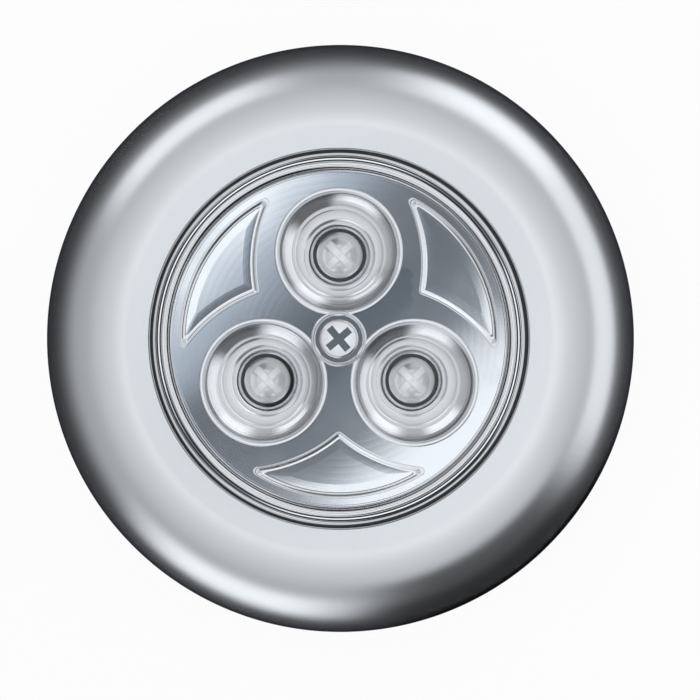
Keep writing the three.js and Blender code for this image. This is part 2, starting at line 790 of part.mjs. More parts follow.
// Draws a side that bends into the fin, from one corner to the next
function sideArc(shape, from, to) {
  const middle = from.clone().add(to).multiplyScalar(0.5);
  const half = from.distanceTo(to) / 2;
  const side = Math.max(FIN_SIDE_RADIUS, half);
  const across = to.clone().sub(from).normalize();
  const outward = new THREE.Vector2(across.y, -across.x);
  const centre = middle.addScaledVector(outward, Math.sqrt(side ** 2 - half ** 2));
  const start = Math.atan2(from.y - centre.y, from.x - centre.x);
  const end = Math.atan2(to.y - centre.y, to.x - centre.x);
  shape.absarc(centre.x, centre.y, side, start, end, true);
}

// Reflector: a face with a skirt and rim, three stepped cups, three sunk fins and the screw's column
function reflector() {
  const faceBack = faceHeight - FACE_THICKNESS;
  const dish = turned([
    [0, faceBack],
    [skirtInside, faceBack],
    [skirtInside, carrierTop],
    [coverRadius, carrierTop],
    [coverRadius, coverBottom],
    [coverRadius - RIM_WIDTH, coverBottom],
    [coverRadius - RIM_WIDTH, faceHeight],
    [0, faceHeight],
  ]);
  const holeRadius = LED_DIAMETER / 2 + CUP_HOLE_GAP;
  const cupFloor = faceHeight - CUP_DEPTH;
  const backRadius = CUP_RADIUS + CUP_WALL;
  const backDepth = CUP_DEPTH + CUP_WALL;
  const back = cupBackRadiusShares
    .map((share, i) => [share * backRadius, faceHeight - cupBackDepthShares[i] * backDepth])
    .reverse();
  const cupBody = turned([[0, back[0][1]], ...back, [0, back.at(-1)[1]]], MEDIUM_SEGMENTS);
  const lip = pipe(
    CUP_RADIUS + LIP_WIDTH,
    CUP_RADIUS - OVERRUN,
    faceBack,
    faceHeight + LIP_HEIGHT,
    MEDIUM_SEGMENTS,
  );
  const steps = cupRadiusShares
    .map((share, i) => [share * CUP_RADIUS, faceHeight - cupDepthShares[i] * CUP_DEPTH])
    .reverse();
  const hole = [[0, cupFloor - CUP_WALL - OVERRUN], [holeRadius, cupFloor - CUP_WALL - OVERRUN]];
  const cupVoid = turned(
    [...hole, [holeRadius, cupFloor], ...steps, [CUP_RADIUS, coverTop], [0, coverTop]],
    MEDIUM_SEGMENTS,
  );
  const atCups = (piece) => ledPlaces.map(([x, y]) => moved(piece, x, y));
  const cups = cut(joined(dish, ...atCups(cupBody), ...atCups(lip)), ...atCups(cupVoid));
  const columnTop = faceHeight + COLUMN_RISE;
  const column = disc(COLUMN_RADIUS, carrierTop + POST_HEIGHT, columnTop, MEDIUM_SEGMENTS);
  const counterbore = disc(
    CENTRE_HEAD_RADIUS + COUNTERBORE_GAP,
    columnTop - COUNTERBORE_DEPTH,
    columnTop + OVERRUN,
    MEDIUM_SEGMENTS,
  );
  const screwHole = disc(
    CENTRE_SHANK_RADIUS + RUNNING_GAP,
    carrierTop,
    columnTop,
    SMALL_SEGMENTS,
  );
  const fins = betweenLeds.map((angle) =>
    slab(finShape(angle), faceHeight - FIN_DEPTH, coverTop, SMALL_SEGMENTS),
  );
  return cut(joined(cups, column), counterbore, screwHole, ...fins);
}

function wire(points) {
  const curve = new THREE.CatmullRomCurve3(points.map((p) => new THREE.Vector3(...p)), false, 'centripetal');
  return tube(curve, WIRE_RADIUS, WIRE_SIDES, WIRE_STEPS);
}

// Wire routes, in the tray's corners, channels and risers
const wireStart = contactFace - WIRE_INSET;
const redRoute = [
  [12.8, wireStart, WIRE_LEVEL],
  [14.6, wireStart - WIRE_DIP, WIRE_LEVEL],
  [15.4, wireStart - WIRE_BEND, WIRE_LEVEL],
  [15.5, 15, WIRE_LEVEL],
  [15.7, 8, WIRE_LEVEL],
  [17.4, 4.6, WIRE_LEVEL],
  [20, 2.4, WIRE_LEVEL],
  [22.2, 2, WIRE_LEVEL],
];
const blackRoute = [
  [-12.8, -wireStart, WIRE_LEVEL],
  [-14.6, WIRE_DIP - wireStart, WIRE_LEVEL],
  [-15.4, WIRE_BEND - wireStart, WIRE_LEVEL],
  [-15.5, -14, WIRE_LEVEL],
  [-15.7, -6, WIRE_LEVEL],
  [-17.6, -2, WIRE_LEVEL],
  [-19.3, 0, 4.6],
  [-19.6, 0, 6.6],
  [-19.6, 0, 10.4],
  [-18.8, 0, 12],
  [-17, 0, 12.4],
  [-15.7, 0, 12.8],
  [-LEAD_X, 0, trayTop - WIRE_TOP_DROP],
];
const switchRoute = [
  [22.2, -2, WIRE_LEVEL],
  [20.4, -3.6, WIRE_LEVEL],
  [18.8, -4.8, 4.3],
  [18.3, SWITCH_LEAD_Y, 6.2],
  [18.3, SWITCH_LEAD_Y, 10.6],
  [17.9, SWITCH_LEAD_Y, 12],
  [16.8, SWITCH_LEAD_Y, 12.4],
  [15.7, SWITCH_LEAD_Y, 12.8],
  [LEAD_X, SWITCH_LEAD_Y, trayTop - WIRE_TOP_DROP],
];

// A lead from the tray's top to the board, bowed so that it can flex
function lead(x, y, side) {
  const middle = (trayTop + carrierTop) / 2;
  const places = [
    [x, y, trayTop],
    [x + side * LEAD_BOW, y, middle],
    [x, y, carrierTop - WIRE_TOP_DROP],
  ];
  const curve = new THREE.CatmullRomCurve3(places.map((p) => new THREE.Vector3(...p)));
  return tube(curve, WIRE_RADIUS, WIRE_SIDES, CURL_STEPS);
}

// The assembly
const puckLight = new THREE.Group();
const base = new THREE.Group();
const lamp = new THREE.Group();
const head = new THREE.Group();
puckLight.add(base, lamp, head);

base.add(mesh('adhesive_pad', adhesivePad(), 'foam'));
base.add(mesh('base_plate', basePlate(), 'greyPlastic'));

lamp.add(mesh('housing_shell', housingShell(), 'satin'));
lamp.add(mesh('battery_tray', batteryTray(), 'whitePlastic'));

// Cells lie along Y, the middle one the other way round, each pushed against its positive contact
const cellStart = contactFace - CONTACT_GAP - CELL_LENGTH;
for (let i = 0; i < 3; i += 1) {
  const side = i === 1 ? -1 : 1;
  const x = (i - 1) * cellPitch;
  const battery = mesh(`battery_${i + 1}`, cell(), 'wrap');
  battery.position.set(x, side * cellStart, cellAxis);
  battery.rotation.x = (-side * Math.PI) / 2;
  lamp.add(battery);

  const length = contactFace + cellStart - 2 * CONTACT_GAP;
  const spring = mesh(
    `contact_spring_${i + 1}`,
    coil(
      `contact_spring_${i + 1}`,
      CONTACT_SPRING_WIDE,
      CONTACT_SPRING_NARROW,
      length,
      CONTACT_SPRING_WIRE,
      CONTACT_SPRING_CURLS,
    ),
    'steel',
  );
  spring.position.set(x, -side * (contactFace - CONTACT_GAP), cellAxis);
  spring.rotation.x = (-side * Math.PI) / 2;
  lamp.add(spring);
}

const innerEdge = CONTACT_WIDTH / 2;
const farEdge = cellPitch - CONTACT_WIDTH / 2;
lamp.add(mesh('bridge_contact_1', contactPlate(-contactEdge, innerEdge, 1), 'brass'));
lamp.add(mesh('bridge_contact_2', contactPlate(-innerEdge, contactEdge, -1), 'brass'));
lamp.add(mesh('positive_terminal', contactPlate(farEdge, contactEdge, 1, 1), 'brass'));
lamp.add(mesh('negative_terminal', contactPlate(-contactEdge, -farEdge, -1, -1), 'brass'));

const switchHousing = mesh('switch_body', switchBody(), 'blackPlastic');
switchHousing.position.set(switchX, 0, shelfTop);
lamp.add(switchHousing);
for (const side of [1, -1]) {
  const pin = mesh(`switch_pin_${side > 0 ? 1 : 2}`, disc(PIN_RADIUS, -PIN_LENGTH, 0, CURL_STEPS), 'steel');
  pin.position.set(switchX, side * PIN_OFFSET, shelfTop);
  lamp.add(pin);
}
const plungerFoot = shelfTop + SWITCH_HEIGHT - PLUNGER_DEPTH;
const plunger = mesh('switch_plunger', switchPlunger(carrierBottom - CONTACT_GAP - plungerFoot), 'whitePlastic');
plunger.position.set(switchX, 0, plungerFoot);
lamp.add(plunger);

bossPlaces.forEach(([x, y], i) => {
  const body = screwBody(
    { radius: SCREW_HEAD_RADIUS, height: SCREW_HEAD_HEIGHT },
    { radius: SCREW_SHANK_RADIUS, length: SCREW_GRIP + SCREW_BITE },
    { width: SLOT_WIDTH, length: SLOT_LENGTH, depth: SLOT_DEPTH, turn: 0 },
  );
  const screw = mesh(`housing_screw_${i + 1}`, body, 'steel');
  screw.position.set(x, y, headSeat);
  screw.rotation.x = Math.PI;
  lamp.add(screw);
});

lamp.add(mesh('red_wire', wire(redRoute), 'redWire'));
lamp.add(mesh('black_wire', wire(blackRoute), 'blackWire'));
lamp.add(mesh('switch_wire', wire(switchRoute), 'redWire'));

springPlaces.forEach(([x, y], i) => {
  const label = `return_spring_${i + 1}`;
  const body = coil(label, SPRING_RADIUS, SPRING_RADIUS, SPRING_LENGTH, SPRING_WIRE, SPRING_CURLS);
  const spring = mesh(label, body, 'steel');
  spring.position.set(x, y, springFloor);
  lamp.add(spring);
});
lamp.add(mesh('switch_lead', lead(LEAD_X, SWITCH_LEAD_Y, -1), 'redWire'));
lamp.add(mesh('battery_lead', lead(-LEAD_X, 0, 1), 'blackWire'));

head.add(mesh('head_carrier', headCarrier(), 'greyPlastic'));
head.add(mesh('circuit_board', circuitBoard(), 'board'));
betweenLeds.forEach((angle, i) => {
  const half = [RESISTOR_LENGTH / 2, RESISTOR_WIDTH / 2];
  const body = block(-half[0], half[0], -half[1], half[1], 0, RESISTOR_HEIGHT);
  const resistor = mesh(`resistor_${i + 1}`, body, 'blackPlastic');
  const turn = degrees(angle);
  const [x, y] = [RESISTOR_CIRCLE_RADIUS * Math.cos(turn), RESISTOR_CIRCLE_RADIUS * Math.sin(turn)];
  resistor.position.set(x, y, boardTop + CONTACT_GAP);
  resistor.rotation.z = turn + Math.PI / 2;
  head.add(resistor);
});
ledPlaces.forEach(([x, y], i) => {
  const body = mesh(`led_${i + 1}`, diode(), 'clear');
  body.position.set(x, y, boardTop);
  head.add(body);
  for (const side of [1, -1]) {
    const half = LEG_WIDTH / 2;
    const name = `${side > 0 ? 'anode' : 'cathode'}_${i + 1}`;
    const leg = mesh(name, block(-half, half, -half, half, -LEG_LENGTH, 0), 'steel');
    leg.position.set(x + side * LEG_OFFSET, y, boardTop);
    head.add(leg);
  }
});
head.add(mesh('reflector', reflector(), 'mirror'));
head.add(mesh('lens_ring', lensRing(), 'mirror'));
head.add(mesh('lens_cover', lensCover(), 'clear'));

const centreSeat = faceHeight + COLUMN_RISE - COUNTERBORE_DEPTH;
const centreShank = centreSeat - carrierTop - POST_HEIGHT + CENTRE_BITE;
const centreBody = screwBody(
  { radius: CENTRE_HEAD_RADIUS, height: CENTRE_HEAD_HEIGHT },
  { radius: CENTRE_SHANK_RADIUS, length: centreShank },
  {
    width: CENTRE_SLOT_WIDTH,
    length: CENTRE_SLOT_LENGTH,
    depth: CENTRE_SLOT_DEPTH,
    turn: CENTRE_SLOT_TURN,
  },
);
const centreScrew = mesh('center_screw', centreBody, 'steel');
centreScrew.position.set(0, 0, centreSeat);
head.add(centreScrew);

export default puckLight;
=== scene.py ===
"""A stick-on puck light, seen straight at its lens.

The housing is satin silver. Behind a clear round cover lies a mirror reflector with three diodes in
stepped cups, three sunk fins between them and a crossed screw in the middle. Shapes are drawn in
millimetres, and each piece is brought to metres when it is finished.
"""

import json
import math

import bmesh
import bpy
from mathutils import Matrix, Vector


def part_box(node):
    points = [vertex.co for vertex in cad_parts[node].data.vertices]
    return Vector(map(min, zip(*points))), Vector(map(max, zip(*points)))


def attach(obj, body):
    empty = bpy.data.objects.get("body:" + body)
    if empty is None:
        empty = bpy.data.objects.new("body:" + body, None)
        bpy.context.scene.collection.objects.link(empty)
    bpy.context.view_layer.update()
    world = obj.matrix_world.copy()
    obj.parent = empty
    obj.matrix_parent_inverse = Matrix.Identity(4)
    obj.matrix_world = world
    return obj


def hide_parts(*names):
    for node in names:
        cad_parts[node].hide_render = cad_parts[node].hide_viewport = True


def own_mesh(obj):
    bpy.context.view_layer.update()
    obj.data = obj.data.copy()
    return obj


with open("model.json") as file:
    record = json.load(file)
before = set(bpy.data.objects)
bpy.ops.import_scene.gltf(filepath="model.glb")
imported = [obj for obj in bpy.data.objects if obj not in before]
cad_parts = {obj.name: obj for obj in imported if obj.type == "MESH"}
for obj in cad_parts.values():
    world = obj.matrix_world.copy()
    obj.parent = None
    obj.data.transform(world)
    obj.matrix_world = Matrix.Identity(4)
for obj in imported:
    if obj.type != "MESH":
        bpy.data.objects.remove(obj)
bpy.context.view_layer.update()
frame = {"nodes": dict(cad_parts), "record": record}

MM = 0.001


def node_box(name):
    """The lowest and highest corners of a node, in millimetres."""
    low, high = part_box(name)
    return low / MM, high / MM


def node_middle(name):
    low, high = node_box(name)
    return (low + high) / 2


# Heights and radii that the other shapes follow
housing_low, housing_high = node_box("housing_shell")
ring_low, ring_high = node_box("lens_ring")
cover_low, cover_high = node_box("lens_cover")
base_low, base_high = node_box("base_plate")
pad_high = node_box("adhesive_pad")[1]
screw_low, screw_high = node_box("center_screw")

HOUSING_RADIUS = housing_high.x
LIP_HEIGHT = housing_high.z
SKIRT_LOW = housing_low.z
HEAD_RADIUS = ring_high.x
HEAD_FLOOR = ring_low.z
CREST_HEIGHT = ring_high.z
COVER_RADIUS = cover_high.x
COVER_BOTTOM = cover_low.z
COVER_TOP = cover_high.z
COVER_GAP = 0.4
FACE_HEIGHT = COVER_BOTTOM - COVER_GAP
LED_NAMES = ("led_1", "led_2", "led_3")
led_places = [node_middle(name) for name in LED_NAMES]
LED_FOOT = node_box("led_1")[0].z
LED_TIP = node_box("led_1")[1].z
LED_RADIUS = 2.62

# How finely round pieces are drawn
DOME_STEPS = 480
LARGE_STEPS = 240
MEDIUM_STEPS = 120
SMALL_STEPS = 48
CROWN_STEPS = 24
ROUND_STEPS = 6
EDGE_STEPS = 4
WIRE_SIDES = 5
WIRE_CURVE_STEPS = 10
MERGE_GAP = 1e-4


# Drawing helpers


def arc(centre, radius, start, end, steps):
    """Points of (radius, height) on part of a circle, its angles in degrees."""
    points = []
    for i in range(steps + 1):
        angle = math.radians(start + (end - start) * i / steps)
        points.append((centre[0] + radius * math.cos(angle), centre[1] + radius * math.sin(angle)))
    return points


def turned(bm, section, steps, centre=(0.0, 0.0), closed=True):
    """Spins a section of (radius, height) points round an upright line through centre."""
    verts = [bm.verts.new((centre[0] + radius, centre[1], height)) for radius, height in section]
    pairs = list(zip(verts, verts[1:]))
    if closed:
        pairs.append((verts[-1], verts[0]))
    edges = [bm.edges.new(pair) for pair in pairs]
    bmesh.ops.spin(
        bm,
        geom=verts + edges,
        cent=(centre[0], centre[1], 0.0),
        axis=(0.0, 0.0, 1.0),
        angle=math.tau,
        steps=steps,
        use_merge=True,
    )


def sector(bm, inside, outside, start, end, low, high, steps):
    """A closed block between two radii, two angles in degrees and two heights."""
    corners = ((inside, low), (outside, low), (outside, high), (inside, high))
    verts = [bm.verts.new((radius, 0.0, height)) for radius, height in corners]
    face = bm.faces.new(verts)
    turn = Matrix.Rotation(math.radians(start), 3, "Z")
    bmesh.ops.rotate(bm, verts=verts, cent=(0.0, 0.0, 0.0), matrix=turn)
    bmesh.ops.spin(
        bm,
        geom=verts + list(face.edges) + [face],
        cent=(0.0, 0.0, 0.0),
        axis=(0.0, 0.0, 1.0),
        angle=math.radians(end - start),
        steps=steps,
    )


def edges_of(verts):
    return list({edge for vert in verts for edge in vert.link_edges})


def placed(name, data):
    """An object in the scene that shows the given data."""
    item = bpy.data.objects.new(name, data)
    bpy.context.scene.collection.objects.link(item)
    return item


def mesh_piece(name, bm, material):
    mesh = bpy.data.meshes.new(name)
    bm.to_mesh(mesh)
    bm.free()
    mesh.materials.append(material)
    return placed(name, mesh)


def finish_piece(name, bm, finish, body, replaced=(), recalc=True):
    """Closes a drawn mesh, brings it to metres and hangs it on a body of the lamp."""
    bmesh.ops.remove_doubles(bm, verts=bm.verts, dist=MERGE_GAP)
    if recalc:
        bmesh.ops.recalc_face_normals(bm, faces=bm.faces)
    # The steps are so fine that the faces stay flat
    for face in bm.faces:
        face.smooth = False
    bmesh.ops.scale(bm, vec=(MM, MM, MM), verts=bm.verts)
    piece = mesh_piece(name, bm, materials[finish])
    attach(piece, body)
    if replaced:
        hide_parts(*replaced)
    return piece


def turned_piece(
    name, section, steps, finish, body, replaced=(), centre=(0.0, 0.0), closed=True
):
    """A piece that is one turned section. An open section starts and ends on its axis."""
    bm = bmesh.new()
    turned(bm, section, steps, centre, closed)
    return finish_piece(name, bm, finish, body, replaced)


def tube_piece(name, points, radius, finish, replaced, bent=True):
    """A round wire in the lamp. A bent one is drawn as a smooth curve through a few points."""
    curve = bpy.data.curves.new(name + "_path", "CURVE")
    curve.dimensions = "3D"
    curve.bevel_depth = radius
    curve.bevel_resolution = WIRE_SIDES
    curve.use_fill_caps = True
    curve.resolution_u = WIRE_CURVE_STEPS
    spline = curve.splines.new("BEZIER" if bent else "POLY")
    places = spline.bezier_points if bent else spline.points
    places.add(len(points) - 1)
    for place, point in zip(places, points):
        if bent:
            place.co = point
            place.handle_left_type = place.handle_right_type = "AUTO"
        else:
            place.co = (*point, 1.0)
    path = placed(name + "_path", curve)
    bpy.context.view_layer.update()
    bm = bmesh.new()
    bm.from_mesh(bpy.data.meshes.new_from_object(path))
    bpy.data.objects.remove(path)
    bpy.data.curves.remove(curve)
    return finish_piece(name, bm, finish, "lamp", [replaced])


# Shader helpers, and groups that more than one finish uses


def feed(tree, socket, value):
    """Links what another node puts out to a socket, or sets the socket to a plain value."""
    if isinstance(value, bpy.types.NodeSocket):
        tree.links.new(value, socket)
    else:
        socket.default_value = value


def new_group(name, inputs, outputs):
    """A shader group with its sockets, and the nodes inside that stand for them."""
    group = bpy.data.node_groups.new(name, "ShaderNodeTree")
    for label, kind, value in inputs:
        socket = group.interface.new_socket(label, in_out="INPUT", socket_type=kind)
        if value is not None:
            socket.default_value = value
    for label, kind in outputs:
        group.interface.new_socket(label, in_out="OUTPUT", socket_type=kind)
    return group, group.nodes.new("NodeGroupInput"), group.nodes.new("NodeGroupOutput")


def math_node(tree, operation, *values, kind="ShaderNodeMath", output="Value"):
    node = tree.nodes.new(kind)
    node.operation = operation
    for socket, value in zip(node.inputs, values):
        feed(tree, socket, value)
    return node.outputs[output]


def vector_node(tree, operation, *values, output="Vector"):
    return math_node(tree, operation, *values, kind="ShaderNodeVectorMath", output=output)


def eased_node(tree, value, start, end, kind="SMOOTHSTEP"):
    """Goes from 0 at start to 1 at end."""
    node = tree.nodes.new("ShaderNodeMapRange")
    node.interpolation_type = kind
    node.inputs["From Min"].default_value = start
    node.inputs["From Max"].default_value = end
    tree.links.new(value, node.inputs["Value"])
    return node.outputs["Result"]


def colour_node(tree, mask, first, second, blend="MIX"):
    """The first colour, which turns to the second one where the mask is 1."""
    node = tree.nodes.new("ShaderNodeMix")
    node.data_type = "RGBA"
    node.blend_type = blend
    for label, value in (("Factor", mask), ("A", first), ("B", second)):
        feed(tree, node.inputs[label], value)
    return node.outputs["Result"]


def ramp_node(tree, value, stops, interpolation="LINEAR"):
    """A ramp through stops of a place and a colour."""
    node = tree.nodes.new("ShaderNodeValToRGB")
    ramp = node.color_ramp
    ramp.interpolation = interpolation
    for i, (where, colour) in enumerate(stops):
        stop = ramp.elements[i] if i < 2 else ramp.elements.new(where)
        stop.position = where
        stop.color = (*colour, 1.0)
    tree.links.new(value, node.inputs["Fac"])
    return node.outputs["Color"]


def split_node(tree, vector):
    node = tree.nodes.new("ShaderNodeSeparateXYZ")
    tree.links.new(vector, node.inputs[0])
    return node.outputs


def aside_node(tree, place, bearing):
    """How far a place's bearing is from the given one, in radians."""
    here = math_node(tree, "ARCTAN2", place["Y"], place["X"])
    away = math_node(tree, "SUBTRACT", here, math.radians(bearing))
    return math_node(tree, "ARCCOSINE", math_node(tree, "COSINE", away))


def noise(tree, vector, scale, detail, roughness=0.5, output="Fac"):
    node = tree.nodes.new("ShaderNodeTexNoise")
    tree.links.new(vector, node.inputs["Vector"])
    feed(tree, node.inputs["Scale"], scale)
    node.inputs["Detail"].default_value = detail
    node.inputs["Roughness"].default_value = roughness
    return node.outputs[output]


# How the grain mixes fine and wide noise, and where a smudge starts and is full
FINE_SHARE = 0.6
WIDE_SHARE = 0.4
WIDE_SCALE_SHARE = 0.07
SMUDGE_START = 0.42
SMUDGE_FULL = 0.72


def make_grain_group():
    """Fine grain of paint and moulded plastic: a mask and a height, both about one half."""
    group, source, sink = new_group(
        "fine grain",
        [("Vector", "NodeSocketVector", None), ("Scale", "NodeSocketFloat", 3000.0)],
        [("Mask", "NodeSocketFloat"), ("Height", "NodeSocketFloat")],
    )
    fine = noise(group, source.outputs["Vector"], source.outputs["Scale"], 3.0, 0.6)
    wide_scale = math_node(group, "MULTIPLY", source.outputs["Scale"], WIDE_SCALE_SHARE)
    wide = noise(group, source.outputs["Vector"], wide_scale, 2.0)
    fine_part = math_node(group, "MULTIPLY", fine, FINE_SHARE)
    wide_part = math_node(group, "MULTIPLY", wide, WIDE_SHARE)
    group.links.new(math_node(group, "ADD", fine_part, wide_part), sink.inputs["Mask"])
    group.links.new(fine, sink.inputs["Height"])
    return group


def make_marks_group():
    """Light handling marks: soft smudges from 0 to 1."""
    group, source, sink = new_group(
        "handling marks",
        [("Vector", "NodeSocketVector", None), ("Smudge Scale", "NodeSocketFloat", 90.0)],
        [("Smudge", "NodeSocketFloat")],
    )
    smudge = noise(group, source.outputs["Vector"], source.outputs["Smudge Scale"], 4.0, 0.55)
    group.links.new(eased_node(group, smudge, SMUDGE_START, SMUDGE_FULL), sink.inputs["Smudge"])
    return group


GRAIN = make_grain_group()
MARKS = make_marks_group()


class Finish:
    """A material with a Principled shader, and short ways to drive it from its patterns."""

    def __init__(self, name, colour, roughness, metallic=0.0, **sockets):
        self.material = bpy.data.materials.new(name)
        self.material.use_nodes = True
        self.tree = self.material.node_tree
        self.shader = self.tree.nodes["Principled BSDF"]
        sockets.update(Base_Color=(*colour, 1.0), Roughness=roughness, Metallic=metallic)
        for label, value in sockets.items():
            self.shader.inputs[label.replace("_", " ")].default_value = value
        self.colour = colour
        self.place = self.tree.nodes.new("ShaderNodeTexCoord").outputs["Object"]

    def group(self, group, **values):
        """Places a shader group on the piece and gives its outputs."""
        node = self.tree.nodes.new("ShaderNodeGroup")
        node.node_tree = group
        self.tree.links.new(self.place, node.inputs["Vector"])
        for label, value in values.items():
            node.inputs[label.replace("_", " ")].default_value = value
        return node.outputs

    def ranged(self, value, low, high):
        """A value from 0 to 1, brought to the range from low to high."""
        node = self.tree.nodes.new("ShaderNodeMapRange")
        node.inputs["To Min"].default_value = low
        node.inputs["To Max"].default_value = high
        self.tree.links.new(value, node.inputs["Value"])
        return node.outputs["Result"]

    def link(self, value, label):
        self.tree.links.new(value, self.shader.inputs[label])

    def roughened(self, mask, low, high):
        self.link(self.ranged(mask, low, high), "Roughness")

    def mixed_colour(self, mask, other):
        """Base colour that turns to another one where the mask is 1."""
        mixed = colour_node(self.tree, mask, (*self.colour, 1.0), (*other, 1.0))
        self.link(mixed, "Base Color")

    def bumped(self, height, distance):
        node = self.tree.nodes.new("ShaderNodeBump")
        node.inputs["Distance"].default_value = distance
        self.tree.links.new(height, node.inputs["Height"])
        self.link(node.outputs["Normal"], "Normal")


# Finishes

# Where the silver's bright upper coat fades, in metres, and how much rougher and how metallic the rest is
SIDE_TOP = 0.0221
SIDE_FADE = 0.0008
SIDE_ROUGHNESS = 0.22
SIDE_METALLIC = 0.42

# Where the cells' bands start, in metres from their middle
CELL_BAND = 0.0168
CELL_BAND_FADE = 0.0001

# Grained finishes: colour, roughness, its spread, the grain's scale and depth, its shade, and metal
GRAINED_FINISHES = {
    "grey_plastic": ((0.43, 0.44, 0.465), 0.52, 0.07, 1800.0, 0.000012, 0.9, 0.0),
    "white_plastic": ((0.78, 0.79, 0.8), 0.48, 0.06, 1600.0, 0.00001, 0.9, 0.0),
    "black_plastic": ((0.022, 0.023, 0.026), 0.42, 0.08, 1700.0, 0.00001, 0.7, 0.0),
    # dark_seal: in the head's gap it colours a dark ring that is painted shade
    "dark_seal": ((0.1, 0.105, 0.115), 0.5, 0.05, 1500.0, 0.000006, 0.8, 0.0),
    "foam_pad": ((0.8, 0.8, 0.775), 0.86, 0.06, 1100.0, 0.00008, 0.84, 0.0),
    "board": ((0.03, 0.15, 0.06), 0.4, 0.08, 1400.0, 0.000008, 0.8, 0.0),
    "red_insulation": ((0.5, 0.035, 0.028), 0.42, 0.06, 2000.0, 0.000006, 0.85, 0.0),
    "black_insulation": ((0.02, 0.02, 0.022), 0.45, 0.06, 2000.0, 0.000006, 0.8, 0.0),
    "contact_plate": ((0.72, 0.6, 0.36), 0.3, 0.07, 2200.0, 0.000004, 0.9, 1.0),
    "steel": ((0.66, 0.67, 0.69), 0.24, 0.06, 2400.0, 0.000004, 0.92, 1.0),
    "diode_dish": ((0.95, 0.955, 0.96), 0.25, 0.04, 1500.0, 0.000002, 0.94, 1.0),
    # diode_glow colours the crossed bars in the diodes, which are painted reflection and give no light
    "diode_glow": ((0.97, 0.975, 0.98), 0.2, 0.04, 1500.0, 0.000002, 0.98, 1.0),
}


def grained(name, colour, roughness, spread, scale, depth, shade, metallic):
    """A finish with grain in its colour, roughness and surface."""
    finish = Finish(name, colour, roughness, metallic)
    grain = finish.group(GRAIN, Scale=scale)
    finish.mixed_colour(grain["Mask"], [channel * shade for channel in colour])
    finish.roughened(grain["Mask"], roughness - spread, roughness + spread)
    finish.bumped(grain["Height"], depth)
    return finish.material


def satin_silver():
    """Silver paint: smooth and bright on the dome, and with a duller coat on the upright side."""
    tint = (0.5, 0.51, 0.54, 1.0)
    finish = Finish("satin_silver", (0.79, 0.81, 0.835), 0.3, 1.0, Specular_Tint=tint)
    tree = finish.tree
    grain = finish.group(GRAIN, Scale=2600.0)
    marks = finish.group(MARKS, Smudge_Scale=55.0)
    finish.mixed_colour(grain["Mask"], (0.765, 0.787, 0.815))
    height = split_node(tree, finish.place)["Z"]
    side = eased_node(tree, height, SIDE_TOP, SIDE_TOP - SIDE_FADE)
    rubbed = math_node(tree, "MULTIPLY", marks["Smudge"], 0.02)
    smooth = math_node(tree, "ADD", finish.ranged(grain["Mask"], 0.17, 0.215), rubbed)
    duller = math_node(tree, "MULTIPLY", side, SIDE_ROUGHNESS)
    finish.link(math_node(tree, "ADD", smooth, duller), "Roughness")
    finish.link(finish.ranged(side, 1.0, SIDE_METALLIC), "Metallic")
    finish.bumped(grain["Height"], 0.0000025)
    return finish.material


def mirror_finish(name, dome=0.0, sway=0.0):
    """Bright metallised plastic, with the slight crown and sway that a moulding takes as it cools."""
    finish = Finish(name, (0.9, 0.915, 0.94), 0.045, 1.0)
    marks = finish.group(MARKS, Smudge_Scale=140.0)
    finish.mixed_colour(marks["Smudge"], (0.87, 0.885, 0.91))
    finish.roughened(marks["Smudge"], 0.03, 0.055)
    if not dome:
        return finish.material
    tree = finish.tree
    wave = noise(tree, finish.place, 70.0, 1.0, output="Color")
    centred = vector_node(tree, "SUBTRACT", wave, (0.5, 0.5, 0.5))
    swayed = vector_node(tree, "MULTIPLY", centred, (sway, sway, sway))
    lean = vector_node(tree, "MULTIPLY", finish.place, (dome, dome, 0.0))
    flat = tree.nodes.new("ShaderNodeNewGeometry").outputs["Normal"]
    total = vector_node(tree, "ADD", vector_node(tree, "ADD", flat, lean), swayed)
    finish.link(vector_node(tree, "NORMALIZE", total), "Normal")
    return finish.material


def clear_plastic():
    finish = Finish("clear_plastic", (0.985, 0.99, 0.995), 0.0, Transmission_Weight=1.0, IOR=1.46)
    marks = finish.group(MARKS, Smudge_Scale=70.0)
    finish.roughened(marks["Smudge"], 0.0, 0.02)
    return finish.material


def diode_lens():
    finish = Finish("diode_lens", (0.98, 0.99, 1.0), 0.17, Transmission_Weight=1.0, IOR=1.5)
    grain = finish.group(GRAIN, Scale=1500.0)
    finish.roughened(grain["Mask"], 0.14, 0.2)
    return finish.material


def cell_wrap():
    """Coloured film on the dry cells, with a lighter band round each end."""
    finish = Finish("cell_wrap", (0.045, 0.11, 0.25), 0.32, 0.35)
    tree = finish.tree
    along = math_node(tree, "ABSOLUTE", split_node(tree, finish.place)["Y"])
    band = eased_node(tree, along, CELL_BAND, CELL_BAND + CELL_BAND_FADE, "LINEAR")
    finish.mixed_colour(band, (0.5, 0.38, 0.16))
    grain = finish.group(GRAIN, Scale=900.0)
    finish.roughened(grain["Mask"], 0.26, 0.38)
    finish.bumped(grain["Height"], 0.000004)
    return finish.material


materials = {name: grained(name, *values) for name, values in GRAINED_FINISHES.items()}
materials["satin_silver"] = satin_silver()
materials["mirror_finish"] = mirror_finish("mirror_finish")
materials["reflector_mirror"] = mirror_finish("reflector_mirror", dome=0.4, sway=0.006)
materials["screw_chrome"] = mirror_finish("screw_chrome", dome=75.0, sway=0.05)
materials["clear_plastic"] = clear_plastic()
materials["diode_lens"] = diode_lens()
materials["cell_wrap"] = cell_wrap()

for subpart in frame["record"]["subparts"]:
    node_slots = frame["nodes"][subpart["node"]].data.materials
    node_slots.clear()
    node_slots.append(materials[subpart["material_slot"]])


# Housing: a domed shell whose opening holds the head's guide sleeve, and the bayonet's collar inside

